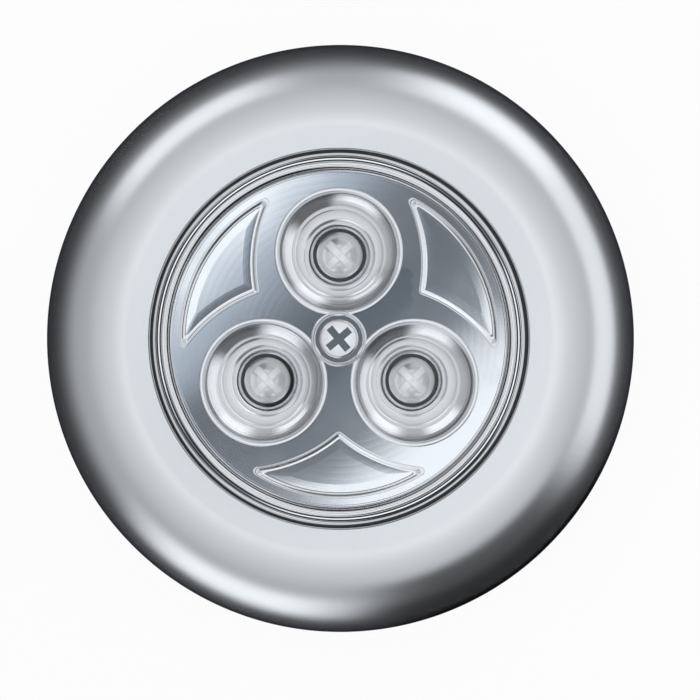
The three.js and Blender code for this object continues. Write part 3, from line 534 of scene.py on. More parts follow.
WALL = 1.6
OPENING_RADIUS = 21.6
FLAT_WIDTH = 2.55
EDGE_TILT = 46.0
CROWN_ARC_STEPS = 40
INNER_ARC_STEPS = 20
SHOULDER_RADIUS = 1.5
SHOULDER_STEPS = 14
LIP_ROUND = 0.12
LIP_ROUND_STEPS = 8
FOOT_ROUND = 0.4
GUIDE_WALL = 1.35
GUIDE_GAP = 0.1
BEAD_HEIGHT = 25.75
BEAD_RADIUS = 0.12
LUG_PITCH = 120.0
LUG_BEARINGS = (0.0, LUG_PITCH, 2 * LUG_PITCH)
LUG_HALF = 12.0
TWIST_ANGLE = 28.0
NOTCH_HALF = 14.0
COLLAR_INSIDE = 30.3
COLLAR_LOW = 2.6
COLLAR_HIGH = 3.6
COLLAR_STEPS = 48
STOP_INSET = 0.1
STOP_MARGIN = 1.5
STOP_ANGLE = 3.0
STOP_HIGH = 4.8
STOP_STEPS = 2
BOSS_TOP = 25.3
HOUSING_BOSS = 2.3
HOUSING_BOSS_HOLE = 1.3
HOUSING_BOSS_DEPTH = 6.5


def bayonet_collar(bm, wall):
    """The notched collar that the base plate's lugs turn behind, and the stops at both ends of the twist."""
    root = wall + WALL / 2
    middle = (COLLAR_LOW + COLLAR_HIGH) / 2
    for turn in LUG_BEARINGS:
        start = turn - TWIST_ANGLE + NOTCH_HALF
        end = start + LUG_PITCH - 2 * NOTCH_HALF
        sector(bm, COLLAR_INSIDE, root, start, end, COLLAR_LOW, COLLAR_HIGH, COLLAR_STEPS)
        locked = turn + LUG_HALF + STOP_MARGIN
        freed = turn - TWIST_ANGLE - LUG_HALF - STOP_MARGIN - STOP_ANGLE
        for stop in (locked, freed):
            inside = COLLAR_INSIDE + STOP_INSET
            sector(bm, inside, root, stop, stop + STOP_ANGLE, middle, STOP_HIGH, STOP_STEPS)


def screw_bosses(bm):
    """Four hollow posts under the dome, which the tray's screws bite into."""
    foot = node_box("battery_tray")[1].z
    for count in range(1, 5):
        section = [(0.0, foot + HOUSING_BOSS_DEPTH), (HOUSING_BOSS_HOLE, foot + HOUSING_BOSS_DEPTH)]
        section += [(HOUSING_BOSS_HOLE, foot), (HOUSING_BOSS, foot)]
        section += [(HOUSING_BOSS, BOSS_TOP), (0.0, BOSS_TOP)]
        turned(bm, section, SMALL_STEPS, node_middle(f"housing_screw_{count}"), closed=False)


def housing():
    tilt = math.radians(EDGE_TILT)
    flat_edge = OPENING_RADIUS + FLAT_WIDTH
    shoulder_middle = HOUSING_RADIUS - SHOULDER_RADIUS
    crown = (shoulder_middle - flat_edge) / math.sin(tilt) + SHOULDER_RADIUS
    crown_middle = LIP_HEIGHT - crown
    shoulder_height = crown_middle + (crown - SHOULDER_RADIUS) * math.cos(tilt)
    inner_crown = crown - WALL
    inner_wall = HOUSING_RADIUS - WALL
    inner_turn = math.degrees(math.acos((inner_wall - flat_edge) / inner_crown))
    guide_outside = OPENING_RADIUS + GUIDE_WALL
    guide_end = HEAD_FLOOR + GUIDE_GAP
    lip_middle = (OPENING_RADIUS + LIP_ROUND, LIP_HEIGHT - LIP_ROUND)
    foot_middle = (HOUSING_RADIUS - FOOT_ROUND, SKIRT_LOW + FOOT_ROUND)
    section = [(OPENING_RADIUS, guide_end)]
    section += arc((OPENING_RADIUS, BEAD_HEIGHT), BEAD_RADIUS, 270, 90, ROUND_STEPS)
    section += arc(lip_middle, LIP_ROUND, 180, 90, LIP_ROUND_STEPS)
    section += arc((flat_edge, crown_middle), crown, 90, 90 - EDGE_TILT, CROWN_ARC_STEPS)
    shoulder = arc((shoulder_middle, shoulder_height), SHOULDER_RADIUS, 90 - EDGE_TILT, 0, SHOULDER_STEPS)
    section += shoulder[1:]
    section += arc(foot_middle, FOOT_ROUND, 0, -90, ROUND_STEPS)
    section += [(inner_wall, SKIRT_LOW)]
    section += arc((flat_edge, crown_middle), inner_crown, inner_turn, 90, INNER_ARC_STEPS)
    section += [(guide_outside, LIP_HEIGHT - WALL), (guide_outside, guide_end)]
    bm = bmesh.new()
    turned(bm, section, DOME_STEPS)
    bayonet_collar(bm, inner_wall)
    screw_bosses(bm)
    finish_piece("housing", bm, "satin_silver", "lamp", ["housing_shell"])


# Lens ring: a rounded crest, two fine grooves with a bead between them, and a sloped shoulder

RING_WALL = 1.4
LEDGE_SLOPE = 0.1
CREST_WIDTH = 0.66
CREST_RISE = 0.16
CREST_INSIDE = 19.46
CREST_SKIRT = 0.1
# The black rings in the two grooves are painted shade, where the grooves' shadow falls
GROOVE_SHADE_RADIUS = 0.075
GROOVE_SHADE_PLACES = (20.25, 20.57)
SHOULDER_DROP = 0.5
GROOVE_SHADE_SINK = 0.1
GROOVE_SHADE_TURN = 330
GROOVE_SHADE_STEPS = 11
GROOVE_DEPTH = 0.2
GROOVE_SPREAD_SHARE = 1.2
BAND_INSIDE = 20.7
# The band's points: how far out from its inside edge, and how far below the shoulder
BAND_SECTION = ((0.0, 0.02), (0.1, 0.22), (0.15, 0.25), (0.37, 0.32), (0.44, 0.38))
RING_EDGE_INSET = 0.02
RING_EDGE_DROP = 0.7
RING_SIDE_DROP = 0.8


def lens_ring():
    inside = HEAD_RADIUS - RING_WALL
    crest_middle = CREST_INSIDE + CREST_WIDTH / 2
    crest_low = CREST_HEIGHT - CREST_RISE
    shoulder = CREST_HEIGHT - SHOULDER_DROP
    section = [(inside, HEAD_FLOOR), (inside, FACE_HEIGHT - LEDGE_SLOPE)]
    section += [(CREST_INSIDE, FACE_HEIGHT + LEDGE_SLOPE), (CREST_INSIDE, crest_low - CREST_SKIRT)]
    crest = arc((0.0, 0.0), 1.0, 180, 0, CROWN_STEPS)
    section += [(crest_middle + x * CREST_WIDTH / 2, crest_low + y * CREST_RISE) for x, y in crest]
    section += [(crest_middle + CREST_WIDTH / 2, shoulder)]
    for place in GROOVE_SHADE_PLACES:
        half, wide = GROOVE_SHADE_RADIUS, GROOVE_SHADE_RADIUS * GROOVE_SPREAD_SHARE
        section += [(place - wide, shoulder), (place - half, shoulder - GROOVE_DEPTH)]
        section += [(place + half, shoulder - GROOVE_DEPTH), (place + wide, shoulder)]
    section += [(BAND_INSIDE + out, shoulder - drop) for out, drop in BAND_SECTION]
    section += [(HEAD_RADIUS - RING_EDGE_INSET, LIP_HEIGHT - RING_EDGE_DROP)]
    section += [(HEAD_RADIUS, LIP_HEIGHT - RING_SIDE_DROP), (HEAD_RADIUS, HEAD_FLOOR)]
    turned_piece("ring", section, LARGE_STEPS, "mirror_finish", "head", ["lens_ring"])
    # Thin black rings laid in the grooves: painted shade of the grooves
    for count, place in enumerate(GROOVE_SHADE_PLACES, 1):
        seal = arc((place, shoulder - GROOVE_SHADE_SINK), GROOVE_SHADE_RADIUS, 0, GROOVE_SHADE_TURN, GROOVE_SHADE_STEPS)
        turned_piece(f"ring_groove_shade_{count}", seal, LARGE_STEPS, "black_plastic", "head")


# A dark ring low in the gap between the ring and the housing: painted shade, standing in for the gap's
# shadow

HEAD_GAP_SHADE_TOP = 25.3
HEAD_GAP_SHADE_HEIGHT = 0.6
HEAD_GAP_SHADE_CLEARANCE = 0.06
HEAD_GAP_SHADE_OVERLAP = 0.1
HEAD_GAP_SHADE_SLOPE = 0.25
HEAD_GAP_SHADE_DROP = 0.05


def head_gap_shade():
    inside = HEAD_RADIUS - HEAD_GAP_SHADE_OVERLAP
    outside = OPENING_RADIUS - HEAD_GAP_SHADE_CLEARANCE
    low = HEAD_GAP_SHADE_TOP - HEAD_GAP_SHADE_HEIGHT
    section = [(inside, low), (outside, low), (outside, HEAD_GAP_SHADE_TOP - HEAD_GAP_SHADE_DROP)]
    section += [(outside - HEAD_GAP_SHADE_SLOPE, HEAD_GAP_SHADE_TOP), (inside, HEAD_GAP_SHADE_TOP)]
    turned_piece("head_gap_shade", section, LARGE_STEPS, "dark_seal", "head")


# Clear cover, flat inside and slightly crowned outside

COVER_EDGE = 1.0
COVER_BEVEL = 0.25
COVER_BEVEL_START = -60


def cover():
    crown = COVER_TOP - COVER_BOTTOM - COVER_EDGE
    radius = (COVER_RADIUS**2 + crown**2) / (2 * crown)
    half = math.degrees(math.asin((COVER_RADIUS - COVER_BEVEL) / radius))
    bevel_middle = (COVER_RADIUS - COVER_BEVEL, COVER_BOTTOM + COVER_BEVEL)
    section = [(0.0, COVER_BOTTOM), (COVER_RADIUS - COVER_BEVEL, COVER_BOTTOM)]
    section += arc(bevel_middle, COVER_BEVEL, COVER_BEVEL_START, 0, EDGE_STEPS)
    section += [(COVER_RADIUS, COVER_BOTTOM + COVER_EDGE - COVER_BEVEL)]
    section += arc((0.0, COVER_TOP - radius), radius, 90 - half, 90, CROWN_STEPS)
    turned_piece("cover", section, LARGE_STEPS, "clear_plastic", "head", ["lens_cover"], closed=False)


# Reflector: a mirror face with three stepped cups, three sunk fins, a rim, a skirt and the screw's boss

CUP_RADIUS = 6.8
CUP_DEPTH = 4.6
CUP_HOLE = 2.88
CUP_HOLE_LENGTH = 0.5
CUP_SHIFT = 0.42
CUP_UNMOVED_SHARE = 1.15
# The cup's stepped wall, in shares of its radius and of its depth
CUP_SHARES = (
    (1.0, 0.02),
    (0.98, 0.045),
    (0.94, 0.09),
    (0.9, 0.132),
    (0.86, 0.17),
    (0.82, 0.204),
    (0.79, 0.227),
    (0.77, 0.238),
    (0.755, 0.243),
    (0.74, 0.25),
    (0.725, 0.262),
    (0.7, 0.277),
    (0.67, 0.29),
    (0.64, 0.3),
    (0.615, 0.306),
    (0.6, 0.311),
    (0.588, 0.322),
    (0.575, 0.336),
    (0.56, 0.346),
    (0.54, 0.354),
    (0.522, 0.361),
    (0.508, 0.374),
    (0.495, 0.395),
    (0.48, 0.422),
    (0.463, 0.46),
    (0.449, 0.505),
    (0.438, 0.56),
    (0.43, 0.64),
    (0.425, 0.75),
)
LIP_WIDTH = 0.5
LIP_RISE = 0.12
LIP_STEPS = 12
LIP_HALF_SHARE = 0.48
LIP_FOOT_WIDTH = 0.04
LIP_FOOT_DEPTH = 0.05
RIM_WIDTH = 0.5
RIM_ROUND = 0.12
SKIN = 0.7
FACE_MERGE_GAP = 1e-3
FIN_DIRECTIONS = (30.0, 150.0, 270.0)
FIN_OUTER_RADIUS = 18.1
FIN_APEX_RADIUS = 10.35
FIN_HALF_ANGLE = 36.3
FIN_SIDE_RADIUS = 16.8
FIN_CORNER = 0.5
FIN_STEPS = 32
CORNER_STEPS = 8
# The fin's wall, from its rounded edge to its floor: how far inwards, and how far above the face
FIN_WALL = (
    (0.05, 0.028),
    (0.11, 0.044),
    (0.17, 0.044),
    (0.23, 0.027),
    (0.29, -0.008),
    (0.36, -0.058),
    (0.43, -0.108),
    (0.49, -0.141),
    (0.55, -0.156),
    (0.62, -0.163),
    (0.72, -0.165),
    (1.0, -0.1625),
    (1.3, -0.1605),
    (1.6, -0.159),
)


def polar(radius, angle):
    """A point of the face, by its distance from the axis and its bearing in degrees."""
    turn = math.radians(angle)
    return Vector((radius * math.cos(turn), radius * math.sin(turn), FACE_HEIGHT))


def side_middle(start, end):
    """The centre of a fin's side, an arc that bends into the fin."""
    across = (end - start).normalized()
    outward = Vector((across.y, -across.x, 0.0))
    half = (end - start).length / 2
    return (start + end) / 2 + outward * math.sqrt(FIN_SIDE_RADIUS**2 - half**2)


def crossing(first, first_radius, second, second_radius, near):
    """Where two circles meet, on the side where near lies."""
    apart = second - first
    along = (apart.length_squared + first_radius**2 - second_radius**2) / (2 * apart.length)
    aside = math.sqrt(first_radius**2 - along**2)
    foot = first + apart.normalized() * along
    across = Vector((-apart.y, apart.x, 0.0)).normalized() * aside
    return min((foot + across, foot - across), key=lambda place: (place - near).length)


def towards(start, end, distance):
    return start + (end - start).normalized() * distance


def swept(bm, start, middle, end, steps):
    """Sweeps a vertex about middle into an arc that ends at end, and returns the arc's last vertex."""
    first, last = (start.co - middle).xy, (end - middle).xy
    angle = -first.angle_signed(last)
    part = bmesh.ops.spin(bm, geom=[start], cent=middle, axis=(0.0, 0.0, 1.0), angle=angle, steps=steps)
    return next(item for item in part["geom_last"] if isinstance(item, bmesh.types.BMVert))


def fin_loop(bm, direction, inset, rise):
    """A fin's rounded outline, moved inwards by inset: an arc along the disc's edge and two hollow sides."""
    before = set(bm.verts)
    corner = max(FIN_CORNER - inset / 2, FIN_CORNER / 3)
    right = polar(FIN_OUTER_RADIUS, direction - FIN_HALF_ANGLE)
    left = polar(FIN_OUTER_RADIUS, direction + FIN_HALF_ANGLE)
    apex = polar(FIN_APEX_RADIUS, direction)
    middle = polar(0.0, 0.0)
    left_middle, right_middle = side_middle(left, apex), side_middle(apex, right)
    outer, side = FIN_OUTER_RADIUS - inset, FIN_SIDE_RADIUS + inset
    right_corner = crossing(middle, outer - corner, right_middle, side + corner, right)
    left_corner = crossing(middle, outer - corner, left_middle, side + corner, left)
    apex_corner = crossing(left_middle, side + corner, right_middle, side + corner, apex)
    turns = (
        (middle, towards(middle, left_corner, outer), FIN_STEPS),
        (left_corner, towards(left_corner, left_middle, corner), CORNER_STEPS),
        (left_middle, towards(apex_corner, left_middle, corner), FIN_STEPS),
        (apex_corner, towards(apex_corner, right_middle, corner), CORNER_STEPS),
        (right_middle, towards(right_corner, right_middle, corner), FIN_STEPS),
        (right_corner, towards(middle, right_corner, outer), CORNER_STEPS),
    )
    tip = bm.verts.new(turns[-1][1])
    for centre, end, steps in turns:
        tip = swept(bm, tip, centre, end, steps)
    fresh = [vert for vert in bm.verts if vert not in before]
    bmesh.ops.remove_doubles(bm, verts=fresh, dist=MERGE_GAP)
    fresh = [vert for vert in bm.verts if vert not in before]
    bmesh.ops.translate(bm, verts=fresh, vec=(0.0, 0.0, rise))
    return edges_of(fresh)


def sunk_fin(bm, direction, outline):
    """Sinks a fin in the face by bridged outlines, which round its wall at the top and at the floor."""
    above = outline
    for inset, rise in FIN_WALL:
        below = fin_loop(bm, direction, inset, rise)
        bmesh.ops.bridge_loops(bm, edges=above + below)
        above = below
    bmesh.ops.contextual_create(bm, geom=above)


def ring_loop(bm, radius, centre, height, steps):
    place = Matrix.Translation((centre[0], centre[1], height))
    made = bmesh.ops.create_circle(bm, cap_ends=False, radius=radius, segments=steps, matrix=place)
    return edges_of(made["verts"])


def cup_section():
    """From the lip's outer edge over the lip and down the stepped wall to the diode's hole."""
    lip_edge = CUP_RADIUS + LIP_WIDTH
    lip_middle = CUP_RADIUS + LIP_WIDTH / 2
    lip_half = LIP_WIDTH * LIP_HALF_SHARE
    section = [(lip_edge, FACE_HEIGHT), (lip_edge - LIP_FOOT_WIDTH, FACE_HEIGHT - LIP_FOOT_DEPTH)]
    lip = arc((0.0, 0.0), 1.0, 0, 180, LIP_STEPS)
    section += [(lip_middle + x * lip_half, FACE_HEIGHT + y * LIP_RISE) for x, y in lip]
    section += [(share * CUP_RADIUS, FACE_HEIGHT - depth * CUP_DEPTH) for share, depth in CUP_SHARES]
    section += [(CUP_HOLE, FACE_HEIGHT - CUP_DEPTH), (CUP_HOLE, FACE_HEIGHT - CUP_DEPTH - CUP_HOLE_LENGTH)]
    return section


def eased(value):
    value = min(max(value, 0.0), 1.0)
    return value * value * (3.0 - 2.0 * value)


def cup_shift(place):
    """How far a cup's upper part lies out from its diode."""
    return Vector((place.x, place.y, 0.0)).normalized() * CUP_SHIFT


def cup(bm, place):
    """A stepped cup, whose upper part lies a little further out than the diode in its hole."""
    before = set(bm.verts)
    turned(bm, cup_section(), MEDIUM_STEPS, place, closed=False)
    shift = cup_shift(place)
    inner = CUP_HOLE * CUP_UNMOVED_SHARE
    for vert in bm.verts:
        if vert not in before:
            away = (vert.co.xy - place.xy).length
            vert.co += shift * eased((away - inner) / (CUP_RADIUS - inner))


def reflector():
    bm = bmesh.new()
    face_radius = COVER_RADIUS - RIM_WIDTH
    edges = ring_loop(bm, face_radius, (0.0, 0.0), FACE_HEIGHT, LARGE_STEPS)
    for place in led_places:
        edges += ring_loop(bm, CUP_RADIUS + LIP_WIDTH, place + cup_shift(place), FACE_HEIGHT, MEDIUM_STEPS)
    fins = {direction: fin_loop(bm, direction, 0.0, 0.0) for direction in FIN_DIRECTIONS}
    for outline in fins.values():
        edges += outline
    bmesh.ops.triangle_fill(bm, use_beauty=True, edges=edges, normal=(0.0, 0.0, 1.0))
    before = set(bm.faces)
    sunk_fin(bm, FIN_DIRECTIONS[-1], fins[FIN_DIRECTIONS[-1]])
    made = [face for face in bm.faces if face not in before]
    # The other fins are copies of the drawn one, so all their walls are alike
    for direction in FIN_DIRECTIONS[:-1]:
        parts = bmesh.ops.duplicate(bm, geom=made)["geom"]
        copied = [part for part in parts if isinstance(part, bmesh.types.BMVert)]
        turn = Matrix.Rotation(math.radians(direction - FIN_DIRECTIONS[-1]), 3, "Z")
        bmesh.ops.rotate(bm, verts=copied, cent=(0.0, 0.0, 0.0), matrix=turn)
    rim_top = COVER_BOTTOM - RIM_ROUND
    rim = [(face_radius, FACE_HEIGHT)]
    rim += arc((face_radius + RIM_ROUND, rim_top), RIM_ROUND, 180, 90, EDGE_STEPS)
    rim += arc((COVER_RADIUS - RIM_ROUND, rim_top), RIM_ROUND, 90, 0, EDGE_STEPS)
    rim += [(COVER_RADIUS, HEAD_FLOOR)]
    turned(bm, rim, LARGE_STEPS, closed=False)
    for place in led_places:
        cup(bm, place)
    bmesh.ops.remove_doubles(bm, verts=bm.verts, dist=FACE_MERGE_GAP)
    bmesh.ops.recalc_face_normals(bm, faces=bm.faces)
    if sum(face.normal.z * face.calc_area() for face in bm.faces) < 0:
        bmesh.ops.reverse_faces(bm, faces=bm.faces)
    name, finish = "mirror_reflector", "reflector_mirror"
    sheet = finish_piece(name, bm, finish, "head", ["reflector"], recalc=False)
    skin = sheet.modifiers.new("skin", "SOLIDIFY")
    skin.thickness = SKIN * MM
    skin.offset = -1.0


BOSS_RADIUS = 3.15
BOSS_RISE = 0.2
BOSS_LENGTH = 3.0
BOSS_ROUND = 0.14
BOSS_ROUND_DROP = 0.1
BOSS_ROUND_STEPS = 5
BOSS_BEAD = 0.06
BOSS_BEAD_OUT = 0.16
BOSS_BEAD_RISE = 0.02
BOSS_BEAD_END = 200
COUNTERBORE_RADIUS = 2.75
COUNTERBORE_DEPTH = 1.6
# The counterbore's rounded mouth: how far out from its radius, and how far below the boss's top
COUNTERBORE_MOUTH = ((0.06, 0.14), (-0.06, 0.18), (-0.12, 0.3), (-0.12, COUNTERBORE_DEPTH))


def screw_boss():
    top = FACE_HEIGHT + BOSS_RISE
    low = FACE_HEIGHT - BOSS_LENGTH
    bead_middle = (COUNTERBORE_RADIUS + BOSS_BEAD_OUT, top + BOSS_BEAD_RISE)
    boss = [(0.0, low), (BOSS_RADIUS, low)]
    boss += arc((BOSS_RADIUS - BOSS_ROUND, top - BOSS_ROUND_DROP), BOSS_ROUND, 0, 90, BOSS_ROUND_STEPS)
    boss += arc(bead_middle, BOSS_BEAD, 90, BOSS_BEAD_END, EDGE_STEPS)
    boss += [(COUNTERBORE_RADIUS + out, top - drop) for out, drop in COUNTERBORE_MOUTH]
    boss += [(0.0, top - COUNTERBORE_DEPTH)]
    turned_piece("screw_boss", boss, MEDIUM_STEPS, "mirror_finish", "head", ["reflector"], closed=False)


# Diodes: a clear domed lens in a black ring (painted shade), over a plate with a bright dish and two crossed
# bars (painted reflection)

FLANGE_RADIUS = 2.88
FLANGE_HEIGHT = 1.0
FLANGE_ROUND = 0.1
PLATE_RADIUS = 2.5
PLATE_DROP = 0.35
PLATE_THICKNESS = 0.4
PLATE_ROUND = 0.05
DISH_RADIUS = 1.25
DISH_FLOOR = 0.75
DISH_DEPTH = 0.14
# The bead round the dish: how far out from the dish's edge, and how far above the plate
DISH_BEAD = ((0.3, 0.0), (0.24, 0.05), (0.06, 0.05), (0.0, 0.0))
BAR_ANGLES = (45.0, 135.0)
BAR_LENGTH = 2.3
BAR_WIDTH = 0.64
BAR_HEIGHT = 0.25
BAR_STEP = 0.03
BAR_ROUND = 0.08
# The black ring round each diode's lens is painted shade in the gap at its hole
HOLE_SHADE_CLEARANCE = 0.01
HOLE_SHADE_DEPTH = 0.4
HOLE_SHADE_TOP = 3.35


def diode_dome(name, place):
    shoulder = LED_TIP - LED_RADIUS
    ledge = LED_FOOT + FLANGE_HEIGHT
    inset = FLANGE_RADIUS - FLANGE_ROUND
    section = [(0.0, LED_FOOT), (inset, LED_FOOT), (FLANGE_RADIUS, LED_FOOT + FLANGE_ROUND)]
    section += [(FLANGE_RADIUS, ledge - FLANGE_ROUND), (inset, ledge), (LED_RADIUS, ledge)]
    section += arc((0.0, shoulder), LED_RADIUS, 0, 90, CROWN_STEPS)
    label, finish = f"{name}_lens", "diode_lens"
    turned_piece(label, section, SMALL_STEPS, finish, "head", [name], centre=place, closed=False)


def diode_hole_shade(name, place):
    """The black ring that fills the gap between a lens and its hole: painted shade, standing in for the
    shadow in that gap.
    """
    inside, outside = LED_RADIUS + HOLE_SHADE_CLEARANCE, CUP_HOLE - HOLE_SHADE_CLEARANCE
    low, high = FACE_HEIGHT - CUP_DEPTH - HOLE_SHADE_DEPTH, FACE_HEIGHT - HOLE_SHADE_TOP
    section = [(inside, low), (outside, low), (outside, high), (inside, high)]
    turned_piece(f"{name}_lens_hole_shade", section, SMALL_STEPS, "black_plastic", "head", centre=place)


def diode_dish(name, place):
    top = LED_TIP - LED_RADIUS - PLATE_DROP
    floor = top - DISH_DEPTH
    low = floor - PLATE_THICKNESS
    section = [(0.0, low), (PLATE_RADIUS, low), (PLATE_RADIUS, top - PLATE_ROUND)]
    section += [(PLATE_RADIUS - PLATE_ROUND, top)]
    section += [(DISH_RADIUS + out, top + rise) for out, rise in DISH_BEAD]
    section += [(DISH_FLOOR, floor), (0.0, floor)]
    label, finish = f"{name}_dish", "diode_dish"
    turned_piece(label, section, SMALL_STEPS, finish, "head", centre=place, closed=False)


def diode_painted_star(name, place):
    """Two crossed bright bars over the dish, which the lens shows as a star: painted reflection, standing in
    for a bright cross reflected in the lens.
    """
    level = LED_TIP - LED_RADIUS - PLATE_DROP - DISH_DEPTH / 2
    size = Matrix.Diagonal((BAR_LENGTH, BAR_WIDTH, BAR_HEIGHT, 1.0))
    bm = bmesh.new()
    for count, angle in enumerate(BAR_ANGLES):
        turn = Matrix.Rotation(math.radians(angle), 4, "Z")
        move = Matrix.Translation((place.x, place.y, level + count * BAR_STEP))
        bar = bmesh.ops.create_cube(bm, size=1.0, matrix=move @ turn @ size)["verts"]
        bmesh.ops.bevel(
            bm, geom=edges_of(bar), offset=BAR_ROUND, segments=2, profile=0.5, affect="EDGES", material=-1
        )
    finish_piece(f"{name}_star", bm, "diode_glow", "head")


def diodes():
    for name, place in zip(LED_NAMES, led_places):
        diode_dome(name, place)
        diode_hole_shade(name, place)
        diode_dish(name, place)
        diode_painted_star(name, place)


# Centre screw: a pan head with a crossed slot

SCREW_HEAD = 1.5
SCREW_FLAT = 1.95
SCREW_RADIUS = 2.45
SCREW_ROUND = 0.1
# The head's rounded edge: its radius, and how far below the head's top
SCREW_EDGE = ((SCREW_FLAT, 0.0), (2.1, 0.04), (2.23, 0.11), (2.34, 0.24), (2.42, 0.45), (SCREW_RADIUS, 0.7))
SHANK_RADIUS = 1.2
CROSS_LENGTH = 3.3
CROSS_WIDTH = 0.85
CROSS_DEPTH = 0.85
CROSS_TURN = 40.0
CROSS_FLOOR_SHARE = 0.72


def cross_outline(bm, height):
    """The crossed slot's outline of twelve corners."""
    long, short = CROSS_LENGTH / 2, CROSS_WIDTH / 2
    arm = [(long, -short), (long, short), (short, short)]
    verts = []
    for quarter in range(4):
        turn = Matrix.Rotation(math.radians(90.0 * quarter + CROSS_TURN), 3, "Z")
        verts += [bm.verts.new(turn @ Vector((x, y, height))) for x, y in arm]
    return [bm.edges.new((a, b)) for a, b in zip(verts, verts[1:] + verts[:1])]


def centre_screw():
    seat = screw_high.z - SCREW_HEAD
    top = screw_high.z
    bm = bmesh.new()
    edges = ring_loop(bm, SCREW_FLAT, (0.0, 0.0), top, SMALL_STEPS)
    slot_edges = cross_outline(bm, top)
    bmesh.ops.triangle_fill(bm, use_beauty=True, edges=edges + slot_edges, normal=(0.0, 0.0, 1.0))
    wall = bmesh.ops.extrude_edge_only(bm, edges=slot_edges)["geom"]
    low = [part for part in wall if isinstance(part, bmesh.types.BMVert)]
    bmesh.ops.translate(bm, verts=low, vec=(0.0, 0.0, -CROSS_DEPTH))
    bmesh.ops.scale(bm, verts=low, vec=(CROSS_FLOOR_SHARE, CROSS_FLOOR_SHARE, 1.0))
    bmesh.ops.contextual_create(bm, geom=[part for part in wall if isinstance(part, bmesh.types.BMEdge)])
    section = [(radius, top - drop) for radius, drop in SCREW_EDGE]
    section += [(SCREW_RADIUS, seat + SCREW_ROUND), (SCREW_RADIUS - SCREW_ROUND, seat)]
    section += [(SHANK_RADIUS, seat), (SHANK_RADIUS, screw_low.z), (0.0, screw_low.z)]
    turned(bm, section, SMALL_STEPS, closed=False)
    finish_piece("crossed_screw", bm, "screw_chrome", "head", ["center_screw"])


# Base plate with the pad's recess, the spigot inside the housing and its three lugs, and the foam pad

PLATE_TOP = 2.3
PLATE_FOOT_ROUND = 0.4
PLATE_TOP_BEVEL = 0.1
RECESS_GAP = 0.3
RECESS_DEPTH = 0.5
RECESS_ROUND = 0.1
RECESS_STEPS = 3
SPIGOT_OUTSIDE = 30.0
SPIGOT_INSIDE = 29.0
LUG_OUTSIDE = 31.3
LUG_LOW = 3.9
LUG_SINK = 0.01
LUG_STEPS = 12
PAD_ROUND = 0.12


def base_plate():
    recess = pad_high.x + RECESS_GAP
    recess_floor = base_low.z + RECESS_DEPTH
    outside = base_high.x
    recess_middle = (recess + RECESS_ROUND, base_low.z + RECESS_ROUND)
    foot_middle = (outside - PLATE_FOOT_ROUND, base_low.z + PLATE_FOOT_ROUND)
    section = [(0.0, recess_floor), (recess, recess_floor)]
    section += arc(recess_middle, RECESS_ROUND, 180, 270, RECESS_STEPS)
    section += arc(foot_middle, PLATE_FOOT_ROUND, 270, 360, ROUND_STEPS)
    section += [(outside, PLATE_TOP - PLATE_TOP_BEVEL), (outside - PLATE_TOP_BEVEL, PLATE_TOP)]
    section += [(SPIGOT_OUTSIDE, PLATE_TOP), (SPIGOT_OUTSIDE, base_high.z)]
    section += [(SPIGOT_INSIDE, base_high.z), (SPIGOT_INSIDE, PLATE_TOP), (0.0, PLATE_TOP)]
    bm = bmesh.new()
    turned(bm, section, LARGE_STEPS, closed=False)
    middle = (SPIGOT_INSIDE + SPIGOT_OUTSIDE) / 2
    high = base_high.z - LUG_SINK
    for turn in LUG_BEARINGS:
        sector(bm, middle, LUG_OUTSIDE, turn - LUG_HALF, turn + LUG_HALF, LUG_LOW, high, LUG_STEPS)
    finish_piece("back_plate", bm, "grey_plastic", "base", ["base_plate"])


def foam_pad():
    inset = pad_high.x - PAD_ROUND
    section = [(0.0, 0.0), (inset, 0.0)]
    section += arc((inset, PAD_ROUND), PAD_ROUND, 270, 360, EDGE_STEPS)
    section += [(pad_high.x, pad_high.z), (0.0, pad_high.z)]
    turned_piece("foam_disc", section, LARGE_STEPS, "foam_pad", "base", ["adhesive_pad"], closed=False)


# Dry cells: a coloured film round a metal can with a dished foot and a raised button

CELL_AXIS = 7.85
# Each cell's number, and on which side its foot lies: 1 is towards -Y
CELL_SIDES = ((1, 1.0), (2, -1.0), (3, 1.0))
CAN_SECTION = (
    (0.0, 0.1),
    (3.3, 0.1),
    (3.6, 0.0),
    (4.2, 0.0),
    (4.4, 0.3),
    (4.4, 43.2),
    (4.1, 43.35),
    (2.3, 43.35),
    (2.05, 43.5),
    (1.9, 43.7),
    (1.9, 44.3),
    (1.72, 44.5),
    (0.0, 44.5),
)
FILM_SECTION = (
    (4.41, 0.3),
    (4.25, 0.03),
    (4.9, 0.03),
    (5.15, 0.13),
    (5.25, 0.4),
    (5.25, 43.1),
    (5.15, 43.38),
    (4.9, 43.48),
    (4.15, 43.48),
    (4.15, 43.37),
    (4.41, 43.2),
)


def laid_down(side):
    """Turns what stands upright to lie along the cells."""
    return Matrix.Rotation(math.radians(-90.0 * side), 3, "X")


def dry_cells():
    for count, side in CELL_SIDES:
        low, high = node_box(f"battery_{count}")
        foot = Vector(((low.x + high.x) / 2, low.y if side > 0 else high.y, CELL_AXIS))
        for part, section, finish in (("can", CAN_SECTION, "steel"), ("film", FILM_SECTION, "cell_wrap")):
            bm = bmesh.new()
            turned(bm, section, SMALL_STEPS, closed=part == "film")
            bmesh.ops.rotate(bm, verts=bm.verts, cent=(0.0, 0.0, 0.0), matrix=laid_down(side))
            bmesh.ops.translate(bm, verts=bm.verts, vec=foot)
            finish_piece(f"cell_{count}_{part}", bm, finish, "lamp", [f"battery_{count}"])


# Springs: fine coils. The four under the head have closed end turns.

